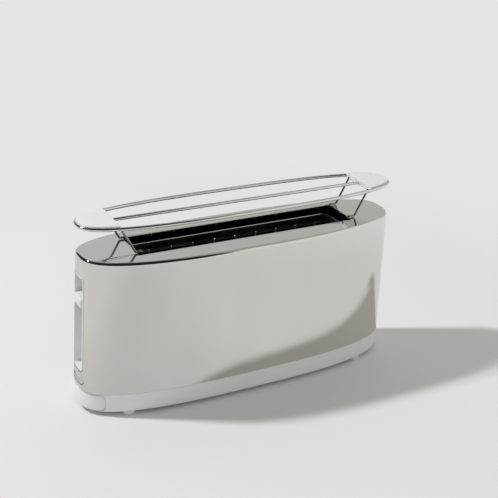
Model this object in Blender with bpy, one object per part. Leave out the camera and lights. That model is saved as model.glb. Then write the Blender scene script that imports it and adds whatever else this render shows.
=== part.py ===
# Long-slot toaster with a lift-off bun rack. An oval polished sleeve stands on a white base, and a flat
# top plate has one long bread slot. Behind a recess in the left end a carriage with a lever lowers the
# bread between two wire guards and two heater boards. A crumb tray slides out of the left end.
# Metres, +Z up. The origin is on the ground under the middle of the body, and the controls are at -X.

import math

import bmesh
import bpy
from mathutils import Matrix, Quaternion, Vector

# Fits and sheet
CLEARANCE = 0.0003
OVERRUN = 0.002  # how far a cutter runs past what it cuts
SHEET = 0.001

# Outer form: a superellipse in plan, drawn in a little towards the top
OVAL_POWER = 2.8
OVAL_POINTS = 80
BODY_LENGTH = 0.380
BODY_WIDTH = 0.104
TOP_DRAW_IN = 0.0038
FOOT_HEIGHT = 0.005
BASE_HEIGHT = 0.0217
SLEEVE_HEIGHT = 0.150
SLEEVE_WALL = 0.001
RIM_RADIUS = 0.002
RIM_STEPS = 4

# Base moulding
BASE_INSET = 0.001
BASE_EDGE_RADIUS = 0.0015
BASE_WALL = 0.0025
BASE_FLOOR = 0.002
CHANNEL_HEIGHT = 0.011
CHANNEL_SIDE_GAP = 0.0005  # from the chamber's side to the tray channel's
OPENING_LEDGE = 0.001  # how much narrower the crumb opening is than the channel
DECK = 0.0025
SPIGOT_HEIGHT = 0.0023  # the ring inside the sleeve
SPIGOT_WALL = 0.0015
VENT_LENGTH = 0.012
VENT_WIDTH = 0.004
VENT_PITCH = 0.020
VENTS_PER_SIDE = 8

# Feet and base screws
FOOT_RADIUS = 0.0075
FOOT_EDGE = 0.0006
FOOT_SOCKET_DEPTH = 0.001
FOOT_FROM_END = 0.046
FOOT_FROM_SIDE = 0.0192
SCREW_FROM_END_PLATE = 0.009
SCREW_FROM_CHAMBER = 0.0045
SCREW_RADIUS = 0.0015
SCREW_HEAD_RADIUS = 0.003
SCREW_HEAD_HEIGHT = 0.002
SCREW_SINK = 0.0015  # how far the head lies inside the floor
BOSS_RADIUS = 0.005

# Crumb tray
TRAY_FRONT_SIDE = 0.001  # how far the front reaches past the channel on each side
TRAY_FRONT_GAP = 0.0005
TRAY_FRONT_DROP = 0.0020  # from the seam to the front's upper edge
TRAY_FRONT_RISE = 0.0015  # from the base's underside to the front's lower edge
TRAY_FRONT_THICKNESS = 0.003
TRAY_FRONT_CORNER = 0.004
TRAY_DEPTH = 0.0075
TRAY_SHEET = 0.0008
TRAY_END_GAP = 0.007

# Cord gland in the back of the base
GLAND_FROM_END = 0.130
GLAND_FLANGE_RADIUS = 0.007
GLAND_NECK_RADIUS = 0.0042
GLAND_BORE_RADIUS = 0.003
GLAND_FLANGE = 0.0012
GLAND_LENGTH = 0.006

# Top plate and its slot
PLATE_SHEET = 0.001
PLATE_SKIRT = 0.004
SLOT_END_MARGIN = 0.002  # from the chamber's end to the slot's end
SLOT_SIDE_MARGIN = 0.0065
SLOT_CORNER = 0.003
SLOT_LIP_DEPTH = 0.0035
SLOT_LIP_RADIUS = 0.0008
CORNER_STEPS = 5

# Chassis: the frame under the slot, two end plates and two reflectors
FRAME_STEP_IN = 0.004  # from the slot's end to the frame's opening
FRAME_SIDE_STEP_IN = 0.0005
FRAME_WALL = 0.0018
FRAME_CORNER = 0.006
FRAME_DROP = 0.0104
FRAME_HEIGHT = 0.0063
FRAME_FLANGE = 0.0072
END_SPACE = 0.059  # from the body's end to the chamber's, for the lever and the runner
SIDE_SPACE = 0.0215
END_PLATE_FOOT_REACH = 0.008
END_PLATE_FOOT_HEIGHT = 0.009
FLANGE_DEPTH = 0.015
FLANGE_SIDE_GAP = 0.0018
REFLECTOR_LIP_GAP = 0.003  # from the lip to the guard's wires
REFLECTOR_BEAD = 0.0015
BEAD_HEIGHT_SHARES = (0.30, 0.34, 0.62, 0.66)
STANDOFF_RADIUS = 0.0025
STANDOFF_LENGTH = 0.0037

# Heater boards and bread guards
BOARD_PLACE_SHARE = 0.623  # of the way from the middle to the reflector
BOARD_SHEET = 0.001
BOARD_ABOVE_DECK = 0.0312
BOARD_BELOW_FRAME = 0.0080
RIBBON_COUNT = 11
RIBBON_WIDTH = 0.0022
RIBBON_RISE = 0.0004
TAB_HEIGHT = 0.010
TAB_REACH = 0.0016
TAB_SHARES = (0.18, 0.82)
GUARD_PLACE_SHARE = 0.377
GUARD_WIRES = 9
GUARD_END_SPACE = 0.0275
GUARD_WIRE_RADIUS = 0.001
GUARD_RAIL_RADIUS = 0.0012
GUARD_DROP = 0.0027  # from the frame's top to the wires' tips
GUARD_ABOVE_DECK = 0.0252
GUARD_RAIL_SHARES = (0.10, 0.80)

# Lever recess and browning recess in the left end
RECESS_WIDTH = 0.0298
RECESS_BOTTOM = 0.0464
RECESS_TOP_DROP = 0.0168  # from the rim to the recess's upper edge
RECESS_CORNER = 0.008
PILL_WIDTH = 0.030
PILL_HEIGHT = 0.0098
PILL_CENTRE = 0.0367
PANEL_GAP = 0.0008  # the dark outline round the panel's rims
PANEL_RIM = 0.0029
PILL_RIM = 0.0006
PANEL_SET_BACK = 0.0002
PANEL_WIDTH = 0.038
PANEL_TOP_MARGIN = 0.0034
RECESS_DEPTH = 0.016
PILL_DEPTH = 0.010
PANEL_BACK = 0.002

# Carriage, lever and carrier. The lever rests below the recess's top, lifts a little and goes down far
KNOB_LOW_GAP = 0.0056  # between the knob and the recess's lower edge when the lever is down
LEVER_TRAVEL_UP = 0.014
KNOB_DROP = 0.0382  # from the recess's upper edge to the knob's underside
KNOB_HEIGHT = 0.010
KNOB_SIDE_GAP = 0.0006
KNOB_BACK_GAP = 0.002
KNOB_PROUD = 0.0006
KNOB_EDGE = 0.0022
ARM_WIDTH = 0.003
ARM_HEIGHT = 0.006
ARM_INTO_KNOB = 0.006
SLIT_GAP = 0.001
CARRIAGE_SHEET = 0.0015
CARRIAGE_OUT = 0.019  # from the left end plate to the carriage's plate
CARRIAGE_WIDTH = 0.028
CARRIAGE_BELOW_KNOB = 0.022
CARRIAGE_HEIGHT = 0.040
LUG_HEIGHT = 0.006
LUG_WIDTH = 0.012
LUG_DEPTH = 0.0112
ROD_RADIUS = 0.003
ROD_Y = 0.011
TAB_SHEET = 0.002
TAB_BELOW_TOP = 0.002
CARRIER_BELOW_KNOB = 0.010
SPINE_HEIGHT = 0.008
SPINE_WIDTH = 0.003
FINGER_GAP = 0.0023  # from the fingers' ends to the middle of the guard's wires
FINGER_THICKNESS = 0.002
FINGER_DEPTH = 0.003
FINGER_SAG = 0.0015
RUNNER_LENGTH = 0.011
RUNNER_WIDTH = 0.012
RIGHT_ROD_OUT = 0.0155
RIGHT_ROD_RADIUS = 0.0025

# Return spring and holding magnet
SPRING_RADIUS = 0.0034
SPRING_WIRE_RADIUS = 0.00045
SPRING_TURNS = 10
SPRING_POINTS_PER_TURN = 8
SPRING_OUT = 0.0255
SPRING_Y = 0.008
EAR_HEIGHT = 0.002
EAR_WIDTH = 0.006
ARMATURE_LENGTH = 0.010
ARMATURE_WIDTH = 0.014
ARMATURE_THICKNESS = 0.002
ARMATURE_ABOVE_CARRIAGE = 0.002
ARMATURE_Y = -0.005
MAGNET_COIL_SHARE = 0.6

# Electronics
CIRCUIT_SHEET = 0.0016
CIRCUIT_ABOVE_DECK = 0.0132
CIRCUIT_HEIGHT = 0.096
CIRCUIT_NEAR_Y = -0.008
CIRCUIT_OVERHANG = 0.0015  # past the chamber's side
RELAY_SIZE = (0.009, 0.016, 0.020)
RELAY_UP = 0.050
CAPACITOR_RADIUS = 0.004
CAPACITOR_LENGTH = 0.008
CAPACITOR_UP = 0.026
SLIDER_REST_Y = -0.008
SLIDER_TRAVEL = 0.016
SLIDER_WIDTH = 0.009
SLIDER_HEIGHT = 0.0056
SLIDER_PROUD = -0.0015
SLIDER_EDGE = 0.0008
SLIDER_ROUND_SHARE = 0.48
STEM_WIDTH = 0.003
STEM_HEIGHT = 0.0024
STEM_INTO_POT = 0.003
POT_LENGTH = 0.0087
POT_WIDTH = 0.032
POT_HEIGHT = 0.011

# Bun rack: an oval rim, a middle rod, two grips and two bent wires that hook into the slot
RACK_SET_BACK = 0.0035  # from the body's end to the rim wire
RACK_SIDE_SET_BACK = 0.0175
RACK_HEIGHT = 0.0325  # from the plate to the wires' centre
RACK_POINTS = 64
RIM_WIRE_RADIUS = 0.0022
ROD_WIRE_RADIUS = 0.0019
LEG_WIRE_RADIUS = 0.0011
GRIP_LENGTH = 0.0385
GRIP_INSET = 0.0003  # from the rim wire's centre to the grip's side
GRIP_UNDER = 0.0026
GRIP_OVER = 0.0036
GRIP_EDGE_RADIUS = 0.0012
GRIP_CROWN = 0.0008
GRIP_CROWN_INSET = 0.010
ROD_INTO_GRIP = 0.004
LEG_TOP_INTO_GRIP = 0.0065
LEG_FROM_SLOT_SIDE = 0.008
LEG_SPREAD = 0.0045  # how much further apart the wire is at the grip than at the plate
LEG_STAND_OUT = 0.0025  # from the slot's end to the wire's bend on the plate
HOOK_IN = 0.0027
HOOK_DROP = 0.006
LEG_BEND = 0.002
LEG_BEND_STEPS = 3
FINE_WIRE_STEPS = 2  # a wire's bevel resolution: eight sides
PLAIN_WIRE_STEPS = 1  # six sides

# Heights and places worked out from the sizes above
Z_BASE = FOOT_HEIGHT
Z_SEAM = Z_BASE + BASE_HEIGHT
Z_SLEEVE = Z_SEAM + CLEARANCE
Z_RIM = Z_SLEEVE + SLEEVE_HEIGHT
Z_PLATE = Z_RIM + RIM_RADIUS
Z_FLOOR = Z_BASE + BASE_FLOOR
Z_DECK = Z_FLOOR + CHANNEL_HEIGHT + DECK
Z_CHASSIS = Z_DECK + CLEARANCE
Z_FRAME_TOP = Z_PLATE - FRAME_DROP
Z_FRAME = Z_FRAME_TOP - FRAME_HEIGHT
Z_CHASSIS_TOP = Z_FRAME - CLEARANCE
Z_RACK = Z_PLATE + RACK_HEIGHT
Z_TAB = Z_CHASSIS_TOP - TAB_BELOW_TOP
BASE_HALF_LENGTH = BODY_LENGTH / 2 - BASE_INSET
BASE_HALF_WIDTH = BODY_WIDTH / 2 - BASE_INSET
CHAMBER_LENGTH = BODY_LENGTH - 2 * END_SPACE
CHAMBER_WIDTH = BODY_WIDTH - 2 * SIDE_SPACE
END_X = CHAMBER_LENGTH / 2
CHANNEL_WIDTH = CHAMBER_WIDTH - 2 * CHANNEL_SIDE_GAP
TRAY_FRONT_WIDTH = CHANNEL_WIDTH + 2 * TRAY_FRONT_SIDE
TRAY_END_X = END_X - TRAY_END_GAP
END_PLATE_FOOT_WIDTH = CHAMBER_WIDTH + 2 * END_PLATE_FOOT_REACH
FLANGE_INNER_WIDTH = CHAMBER_WIDTH + 2 * FLANGE_SIDE_GAP
FOOT_X = BODY_LENGTH / 2 - FOOT_FROM_END
FOOT_Y = BODY_WIDTH / 2 - FOOT_FROM_SIDE
SCREW_X = END_X - SCREW_FROM_END_PLATE
SCREW_Y = CHAMBER_WIDTH / 2 + SCREW_FROM_CHAMBER
GLAND_X = BODY_LENGTH / 2 - GLAND_FROM_END
SLOT_LENGTH = CHAMBER_LENGTH - 2 * SLOT_END_MARGIN
SLOT_WIDTH = CHAMBER_WIDTH - 2 * SLOT_SIDE_MARGIN
FRAME_LENGTH = SLOT_LENGTH - 2 * FRAME_STEP_IN
FRAME_WIDTH = SLOT_WIDTH - 2 * FRAME_SIDE_STEP_IN
BOARD_Y = BOARD_PLACE_SHARE * CHAMBER_WIDTH / 2
BOARD_BOTTOM = Z_CHASSIS + BOARD_ABOVE_DECK
BOARD_TOP = Z_CHASSIS_TOP - BOARD_BELOW_FRAME
GUARD_Y = GUARD_PLACE_SHARE * CHAMBER_WIDTH / 2
GUARD_BOTTOM = Z_CHASSIS + GUARD_ABOVE_DECK
GUARD_TOP = Z_FRAME_TOP - GUARD_DROP
GUARD_SPAN = CHAMBER_LENGTH - 2 * GUARD_END_SPACE
REFLECTOR_LIP = CHAMBER_WIDTH / 2 - GUARD_Y - REFLECTOR_LIP_GAP
FINGER_REACH = GUARD_Y - FINGER_GAP
RECESS_TOP = Z_RIM - RECESS_TOP_DROP
KNOB_BOTTOM = RECESS_TOP - KNOB_DROP
LEVER_TRAVEL_DOWN = KNOB_BOTTOM - KNOB_LOW_GAP - RECESS_BOTTOM
EAR_BOTTOM = KNOB_BOTTOM
CARRIER_TOP = KNOB_BOTTOM - CARRIER_BELOW_KNOB
CARRIAGE_BOTTOM = KNOB_BOTTOM - CARRIAGE_BELOW_KNOB
CARRIAGE_X = -END_X - CARRIAGE_OUT
ARMATURE_BOTTOM = CARRIAGE_BOTTOM + ARMATURE_ABOVE_CARRIAGE
ROD_X = CARRIAGE_X + LUG_DEPTH / 2
RIGHT_ROD_X = END_X + RIGHT_ROD_OUT
SPRING_X = -END_X - SPRING_OUT
CIRCUIT_BOTTOM = Z_CHASSIS + CIRCUIT_ABOVE_DECK
CIRCUIT_WIDTH = CHAMBER_WIDTH / 2 + CIRCUIT_OVERHANG + CIRCUIT_NEAR_Y
RELAY_BOTTOM = CIRCUIT_BOTTOM + RELAY_UP
CAPACITOR_Z = CIRCUIT_BOTTOM + CAPACITOR_UP
RACK_LENGTH = BODY_LENGTH - 2 * RACK_SET_BACK
RACK_WIDTH = BODY_WIDTH - 2 * RACK_SIDE_SET_BACK
LEG_FOOT_Y = SLOT_WIDTH / 2 - LEG_FROM_SLOT_SIDE
LEG_TOP_Y = LEG_FOOT_Y + LEG_SPREAD

FINISHES = {  # base colour, roughness, metallic
    "polished_steel": ((0.80, 0.79, 0.77), 0.06, 1.0),
    "satin_steel": ((0.60, 0.60, 0.60), 0.30, 1.0),
    "dark_steel": ((0.05, 0.05, 0.05), 0.50, 1.0),
    "white_plastic": ((0.86, 0.87, 0.88), 0.35, 0.0),
    "grey_rubber": ((0.72, 0.72, 0.70), 0.70, 0.0),
    "mica": ((0.55, 0.48, 0.38), 0.60, 0.0),
    "board_green": ((0.05, 0.22, 0.10), 0.50, 0.0),
    "black_plastic": ((0.02, 0.02, 0.02), 0.50, 0.0),
    "copper": ((0.60, 0.28, 0.12), 0.35, 1.0),
}


def clear_scene():
    for old in list(bpy.data.objects):
        bpy.data.objects.remove(old, do_unlink=True)


def finish_material(finish):
    found = bpy.data.materials.get(finish)
    if found:
        return found
    colour, roughness, metallic = FINISHES[finish]
    made = bpy.data.materials.new(finish)
    made.use_nodes = True
    shader = made.node_tree.nodes["Principled BSDF"]
    shader.inputs["Base Color"].default_value = (*colour, 1.0)
    shader.inputs["Roughness"].default_value = roughness
    shader.inputs["Metallic"].default_value = metallic
    return made


def add_mesh(name, mesh, finish=None):
    made = bpy.data.objects.new(name, mesh)
    bpy.context.scene.collection.objects.link(made)
    if finish:
        mesh.materials.clear()
        mesh.materials.append(finish_material(finish))
    else:
        made.hide_render = True
        made.display_type = "WIRE"
    return made


def from_bmesh(name, bm, finish=None):
    bmesh.ops.recalc_face_normals(bm, faces=bm.faces)
    mesh = bpy.data.meshes.new(name)
    bm.to_mesh(mesh)
    bm.free()
    return add_mesh(name, mesh, finish)


def loft(name, loops, finish=None, ring=False):
    # Skins loops of equal length; a ring joins the last loop to the first instead of closing both ends.
    bm = bmesh.new()
    rows = [[bm.verts.new(point) for point in loop] for loop in loops]
    pairs = list(zip(rows, rows[1:]))
    if ring:
        pairs.append((rows[-1], rows[0]))
    else:
        bm.faces.new(rows[0])
        bm.faces.new(rows[-1])
    for low, high in pairs:
        for i in range(len(low)):
            j = (i + 1) % len(low)
            bm.faces.new((low[i], low[j], high[j], high[i]))
    return from_bmesh(name, bm, finish)


def oval(half_length, half_width, z, count=OVAL_POINTS):
    points = []
    for i in range(count):
        angle = 2 * math.pi * (i + 0.5) / count
        c, s = math.cos(angle), math.sin(angle)
        x = half_length * math.copysign(abs(c) ** (2 / OVAL_POWER), c)
        y = half_width * math.copysign(abs(s) ** (2 / OVAL_POWER), s)
        points.append(Vector((x, y, z)))
    return points


def body_oval(z, inset):
    # The sleeve's outline at a height, moved inwards by the inset.
    drawn = inset + TOP_DRAW_IN * (z - Z_SLEEVE) / SLEEVE_HEIGHT
    return oval(BODY_LENGTH / 2 - drawn, BODY_WIDTH / 2 - drawn, z)


def base_oval(z, inset):
    return oval(BASE_HALF_LENGTH - inset, BASE_HALF_WIDTH - inset, z)


def base_half_width_at(x, inset):
    share = abs(x) / (BASE_HALF_LENGTH - inset)
    return (BASE_HALF_WIDTH - inset) * (1 - share**OVAL_POWER) ** (1 / OVAL_POWER)


def rounded_rectangle(width, height, corner):
    outline = []
    for k, (sx, sy) in enumerate(((1, 1), (-1, 1), (-1, -1), (1, -1))):
        cx = sx * (width / 2 - corner)
        cy = sy * (height / 2 - corner)
        for i in range(CORNER_STEPS + 1):
            angle = math.pi / 2 * (k + i / CORNER_STEPS)
            outline.append((cx + corner * math.cos(angle), cy + corner * math.sin(angle)))
    return outline


def circle(radius, sides):
    turns = [2 * math.pi * i / sides for i in range(sides)]
    return [(radius * math.cos(turn), radius * math.sin(turn)) for turn in turns]


def placed(outline, axis, at, centre=(0, 0)):
    # Puts a flat outline square to an axis: X takes (y, z), Y takes (x, z) and Z takes (x, y).
    moved = [(u + centre[0], v + centre[1]) for u, v in outline]
    if axis == "X":
        return [Vector((at, u, v)) for u, v in moved]
    if axis == "Y":
        return [Vector((u, at, v)) for u, v in moved]
    return [Vector((u, v, at)) for u, v in moved]


def prism(name, outline, axis, start, end, finish=None, centre=(0, 0)):
    return loft(name, [placed(outline, axis, start, centre), placed(outline, axis, end, centre)], finish)


def box(name, x, y, z, finish=None):
    bm = bmesh.new()
    bmesh.ops.create_cube(bm, size=1)
    size = Matrix.Diagonal((x[1] - x[0], y[1] - y[0], z[1] - z[0], 1))
    middle = Matrix.Translation(((x[0] + x[1]) / 2, (y[0] + y[1]) / 2, (z[0] + z[1]) / 2))
    bmesh.ops.transform(bm, matrix=middle @ size, verts=bm.verts)
    return from_bmesh(name, bm, finish)


def cylinder(name, radius, axis, start, end, finish=None, centre=(0, 0), sides=16):
    return prism(name, circle(radius, sides), axis, start, end, finish, centre)


def apply_modifiers(piece):
    depsgraph = bpy.context.evaluated_depsgraph_get()
    mesh = bpy.data.meshes.new_from_object(piece.evaluated_get(depsgraph))
    old = piece.data
    piece.modifiers.clear()
    piece.data = mesh
    bpy.data.meshes.remove(old)


def combine(piece, operation, tools):
    for tool in tools:
        boolean = piece.modifiers.new(operation.lower(), "BOOLEAN")
        boolean.operation = operation
        boolean.solver = "EXACT"
        boolean.object = tool
        apply_modifiers(piece)
        bpy.data.objects.remove(tool, do_unlink=True)
    return piece


def cut(piece, *tools):
    return combine(piece, "DIFFERENCE", tools)


def fuse(piece, *tools):
    return combine(piece, "UNION", tools)


def keep(piece, *tools):
    return combine(piece, "INTERSECT", tools)


def round_edges(piece, width, segments=2):
    bevel = piece.modifiers.new("edge", "BEVEL")
    bevel.width = width
    bevel.segments = segments
    bevel.limit_method = "ANGLE"
    bevel.use_clamp_overlap = True
    return piece


def smooth(*pieces):
    for piece in pieces:
        piece.data.shade_smooth()
        piece.data.set_sharp_from_angle(angle=math.radians(32))


def wire(name, points, radius, finish=None, roundness=PLAIN_WIRE_STEPS, closed=False):
    curve = bpy.data.curves.new(name + "_path", "CURVE")
    curve.dimensions = "3D"
    curve.bevel_depth = radius
    curve.bevel_resolution = roundness
    curve.use_fill_caps = not closed
    spline = curve.splines.new("POLY")
    spline.points.add(len(points) - 1)
    for slot, point in zip(spline.points, points):
        slot.co = (*point, 1)
    spline.use_cyclic_u = closed
    guide = bpy.data.objects.new(name + "_path", curve)
    bpy.context.scene.collection.objects.link(guide)
    depsgraph = bpy.context.evaluated_depsgraph_get()
    bm = bmesh.new()
    bm.from_mesh(bpy.data.meshes.new_from_object(guide.evaluated_get(depsgraph)))
    bmesh.ops.remove_doubles(bm, verts=bm.verts, dist=radius / 100)
    bpy.data.objects.remove(guide, do_unlink=True)
    return from_bmesh(name, bm, finish)


def bent(corners, radius, steps=LEG_BEND_STEPS):
    # A path through straight runs whose inner corners are arcs of one radius.
    path = [corners[0]]
    for before, corner, after in zip(corners, corners[1:], corners[2:]):
        back = (before - corner).normalized()
        on = (after - corner).normalized()
        half = back.angle(on) / 2
        centre = corner + (back + on).normalized() * radius / math.sin(half)
        first = corner + back * radius / math.tan(half) - centre
        last = corner + on * radius / math.tan(half) - centre
        turn = first.rotation_difference(last)
        for i in range(steps + 1):
            path.append(centre + Quaternion().slerp(turn, i / steps) @ first)
    path.append(corners[-1])
    return path


def at_joint(name, point, pieces):
    # Gives moving pieces one parent empty on their joint, with their own origins there too.
    joint = bpy.data.objects.new(name, None)
    joint.location = point
    bpy.context.scene.collection.objects.link(joint)
    for piece in pieces:
        piece.data.transform(Matrix.Translation(-Vector(point)))
        piece.parent = joint


def tray_front_outline(gap):
    height = Z_SEAM - TRAY_FRONT_DROP - Z_BASE - TRAY_FRONT_RISE
    return rounded_rectangle(TRAY_FRONT_WIDTH + 2 * gap, height + 2 * gap, TRAY_FRONT_CORNER)


def tray_front_centre():
    return (0, (Z_SEAM - TRAY_FRONT_DROP + Z_BASE + TRAY_FRONT_RISE) / 2)


def make_base():
    rounding = []
    for i in range(3):
        angle = math.pi / 2 * i / 2
        inset = BASE_EDGE_RADIUS * (1 - math.sin(angle))
        rounding.append(base_oval(Z_BASE + BASE_EDGE_RADIUS * (1 - math.cos(angle)), inset))
    spigot = SLEEVE_WALL + CLEARANCE
    z_spigot = Z_SLEEVE + SPIGOT_HEIGHT
    base = loft(
        "base",
        [*rounding, base_oval(Z_SEAM, 0), body_oval_at(z_spigot, spigot, Z_SEAM), body_oval(z_spigot, spigot)],
        "white_plastic",
    )
    inner = BASE_WALL
    cavity = loft("cavity", [base_oval(Z_DECK, inner), base_oval(z_spigot + OVERRUN, inner)])
    channel_half = CHANNEL_WIDTH / 2
    ledge = inner + CLEARANCE
    pocket = loft("pocket", [base_oval(Z_FLOOR, ledge), base_oval(Z_DECK + OVERRUN, ledge)])
    wall_half = channel_half + BASE_WALL
    reach = BODY_LENGTH
    cut(pocket, box("spare", (-reach, reach), (-wall_half, wall_half), (0, Z_DECK + 2 * OVERRUN)))
    cut(base, cavity, pocket)
    for sx in (-1, 1):
        for sy in (-1, 1):
            boss_at = (sx * SCREW_X, sy * SCREW_Y)
            fuse(base, cylinder("boss", BOSS_RADIUS, "Z", Z_FLOOR - DECK / 2, Z_DECK, centre=boss_at))
    crumb_half = channel_half - OPENING_LEDGE
    crumb_end = END_X - SHEET - OPENING_LEDGE
    crumbs = box(
        "crumbs",
        (-crumb_end, crumb_end),
        (-crumb_half, crumb_half),
        (Z_FLOOR + CHANNEL_HEIGHT / 2, Z_DECK + OVERRUN),
    )
    channel = box(
        "channel",
        (-BODY_LENGTH / 2, END_X - SHEET),
        (-channel_half, channel_half),
        (Z_FLOOR, Z_FLOOR + CHANNEL_HEIGHT),
    )
    behind = TRAY_FRONT_THICKNESS + CLEARANCE
    keep(channel, loft("inside", [base_oval(0, behind - OVERRUN), base_oval(Z_SEAM, behind - OVERRUN)]))
    opening = prism(
        "opening",
        tray_front_outline(TRAY_FRONT_GAP),
        "X",
        -BODY_LENGTH / 2 - OVERRUN,
        -BODY_LENGTH / 4,
        centre=tray_front_centre(),
    )
    cut(opening, loft("behind", [base_oval(-OVERRUN, behind), base_oval(Z_SEAM, behind)]))
    cut(base, crumbs, channel, opening)
    for sx in (-1, 1):
        for sy in (-1, 1):
            foot_at = (sx * FOOT_X, sy * FOOT_Y)
            screw_at = (sx * SCREW_X, sy * SCREW_Y)
            socket = cylinder(
                "socket", FOOT_RADIUS + CLEARANCE, "Z", 0, Z_BASE + FOOT_SOCKET_DEPTH, centre=foot_at, sides=24
            )
            head_top = Z_BASE + SCREW_SINK + SCREW_HEAD_HEIGHT
            sink = cylinder("sink", SCREW_HEAD_RADIUS + CLEARANCE, "Z", 0, head_top + CLEARANCE, centre=screw_at)
            bore = cylinder("bore", SCREW_RADIUS + CLEARANCE, "Z", 0, Z_DECK + OVERRUN, centre=screw_at, sides=12)
            cut(base, socket, sink, bore)
    for sy in (-1, 1):
        for i in range(VENTS_PER_SIDE):
            x = (i - (VENTS_PER_SIDE - 1) / 2) * VENT_PITCH
            y = sy * (wall_half + base_half_width_at(x, inner)) / 2
            cut(
                base,
                box(
                    "vent",
                    (x - VENT_LENGTH / 2, x + VENT_LENGTH / 2),
                    (y - VENT_WIDTH / 2, y + VENT_WIDTH / 2),
                    (0, Z_FLOOR + OVERRUN),
                ),
            )
    gland_hole = cylinder(
        "gland_hole",
        GLAND_NECK_RADIUS + CLEARANCE,
        "Y",
        wall_half + OVERRUN,
        BODY_WIDTH / 2 + OVERRUN,
        centre=(GLAND_X, gland_z()),
        sides=20,
    )
    cut(base, gland_hole)
    smooth(base)
    return base


def body_oval_at(z, inset, shown_at):
    return [Vector((point.x, point.y, shown_at)) for point in body_oval(z, inset)]


def gland_z():
    return Z_BASE + BASE_HEIGHT / 2


def make_gland():
    face = base_half_width_at(GLAND_X, 0) + CLEARANCE
    rows = (
        (GLAND_BORE_RADIUS, face - GLAND_LENGTH),
        (GLAND_NECK_RADIUS, face - GLAND_LENGTH),
        (GLAND_NECK_RADIUS, face),
        (GLAND_FLANGE_RADIUS, face),
        (GLAND_FLANGE_RADIUS - GLAND_FLANGE / 2, face + GLAND_FLANGE),
        (GLAND_BORE_RADIUS, face + GLAND_FLANGE),
    )
    loops = [placed(circle(radius, 20), "Y", y, (GLAND_X, gland_z())) for radius, y in rows]
    gland = loft("cord_gland", loops, "grey_rubber", ring=True)
    smooth(gland)


def make_feet():
    for side, sy in (("front", -1), ("back", 1)):
        for end, sx in (("left", -1), ("right", 1)):
            top = Z_BASE + FOOT_SOCKET_DEPTH - CLEARANCE
            rows = (
                (FOOT_RADIUS - FOOT_EDGE, 0),
                (FOOT_RADIUS, FOOT_EDGE),
                (FOOT_RADIUS, top),
            )
            loops = [placed(circle(radius, 24), "Z", z, (sx * FOOT_X, sy * FOOT_Y)) for radius, z in rows]
            smooth(loft(f"foot_{side}_{end}", loops, "grey_rubber"))


def make_screws():
    low = Z_BASE + SCREW_SINK
    head = low + SCREW_HEAD_HEIGHT
    top = Z_CHASSIS + SHEET + SCREW_RADIUS
    rows = (
        (SCREW_HEAD_RADIUS - SCREW_RADIUS / 2, low),
        (SCREW_HEAD_RADIUS, (low + head) / 2),
        (SCREW_HEAD_RADIUS, head),
        (SCREW_RADIUS, head),
        (SCREW_RADIUS, top),
    )
    for side, sy in (("front", -1), ("back", 1)):
        for end, sx in (("left", -1), ("right", 1)):
            loops = [placed(circle(radius, 12), "Z", z, (sx * SCREW_X, sy * SCREW_Y)) for radius, z in rows]
            smooth(loft(f"base_screw_{side}_{end}", loops, "satin_steel"))


def make_tray():
    solid = loft("tray_front", [*[base_oval(z, i) for z, i in tray_edge()], base_oval(Z_SEAM, 0)], "white_plastic")
    outline = prism(
        "outline", tray_front_outline(0), "X", -BODY_LENGTH / 2 - OVERRUN, -BODY_LENGTH / 4, centre=tray_front_centre()
    )
    keep(solid, outline)
    cut(solid, loft("hollow", [base_oval(0, TRAY_FRONT_THICKNESS), base_oval(Z_SEAM, TRAY_FRONT_THICKNESS)]))
    smooth(solid)
    half = CHANNEL_WIDTH / 2 - CLEARANCE
    low = Z_FLOOR + CLEARANCE
    top = low + TRAY_DEPTH
    behind = TRAY_FRONT_THICKNESS + CLEARANCE
    pan = box("crumb_tray", (-BODY_LENGTH / 2, TRAY_END_X), (-half, half), (low, top), "satin_steel")
    keep(pan, loft("front_curve", [base_oval(0, behind), base_oval(Z_SEAM, behind)]))
    room = box(
        "room",
        (-BODY_LENGTH / 2, TRAY_END_X - TRAY_SHEET),
        (-half + TRAY_SHEET, half - TRAY_SHEET),
        (low + TRAY_SHEET, top + OVERRUN),
    )
    keep(room, loft("front_curve", [base_oval(0, behind + TRAY_SHEET), base_oval(Z_SEAM, behind + TRAY_SHEET)]))
    cut(pan, room)
    smooth(pan)
    at_joint("tray_slide", (-END_X, 0, low), (solid, pan))


def tray_edge():
    rows = []
    for i in range(3):
        angle = math.pi / 2 * i / 2
        z = Z_BASE + BASE_EDGE_RADIUS * (1 - math.cos(angle))
        rows.append((z, BASE_EDGE_RADIUS * (1 - math.sin(angle))))
    return rows


def recess_outline(shrink):
    width, height = RECESS_WIDTH - 2 * shrink, RECESS_TOP - RECESS_BOTTOM - 2 * shrink
    return rounded_rectangle(width, height, RECESS_CORNER - shrink)


def recess_centre():
    return (0, (RECESS_TOP + RECESS_BOTTOM) / 2)


def pill_outline(shrink):
    height = PILL_HEIGHT - 2 * shrink
    return rounded_rectangle(PILL_WIDTH - 2 * shrink, height, height / 2)


def end_prism(name, outline, centre, depth=None):
    # A prism along X through the left end, as deep as given from the sleeve's lower end.
    back = -BODY_LENGTH / 4 if depth is None else -BODY_LENGTH / 2 + depth
    return prism(name, outline, "X", -BODY_LENGTH / 2 - OVERRUN, back, centre=centre)


def make_sleeve():
    sleeve = loft(
        "body_sleeve",
        [
            body_oval(Z_SLEEVE, 0),
            body_oval(Z_RIM, 0),
            body_oval(Z_RIM, SLEEVE_WALL),
            body_oval(Z_SLEEVE, SLEEVE_WALL),
        ],
        "polished_steel",
        ring=True,
    )
    cut(
        sleeve,
        end_prism("recess", recess_outline(0), recess_centre()),
        end_prism("pill", pill_outline(0), (0, PILL_CENTRE)),
    )
    smooth(sleeve)


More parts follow.
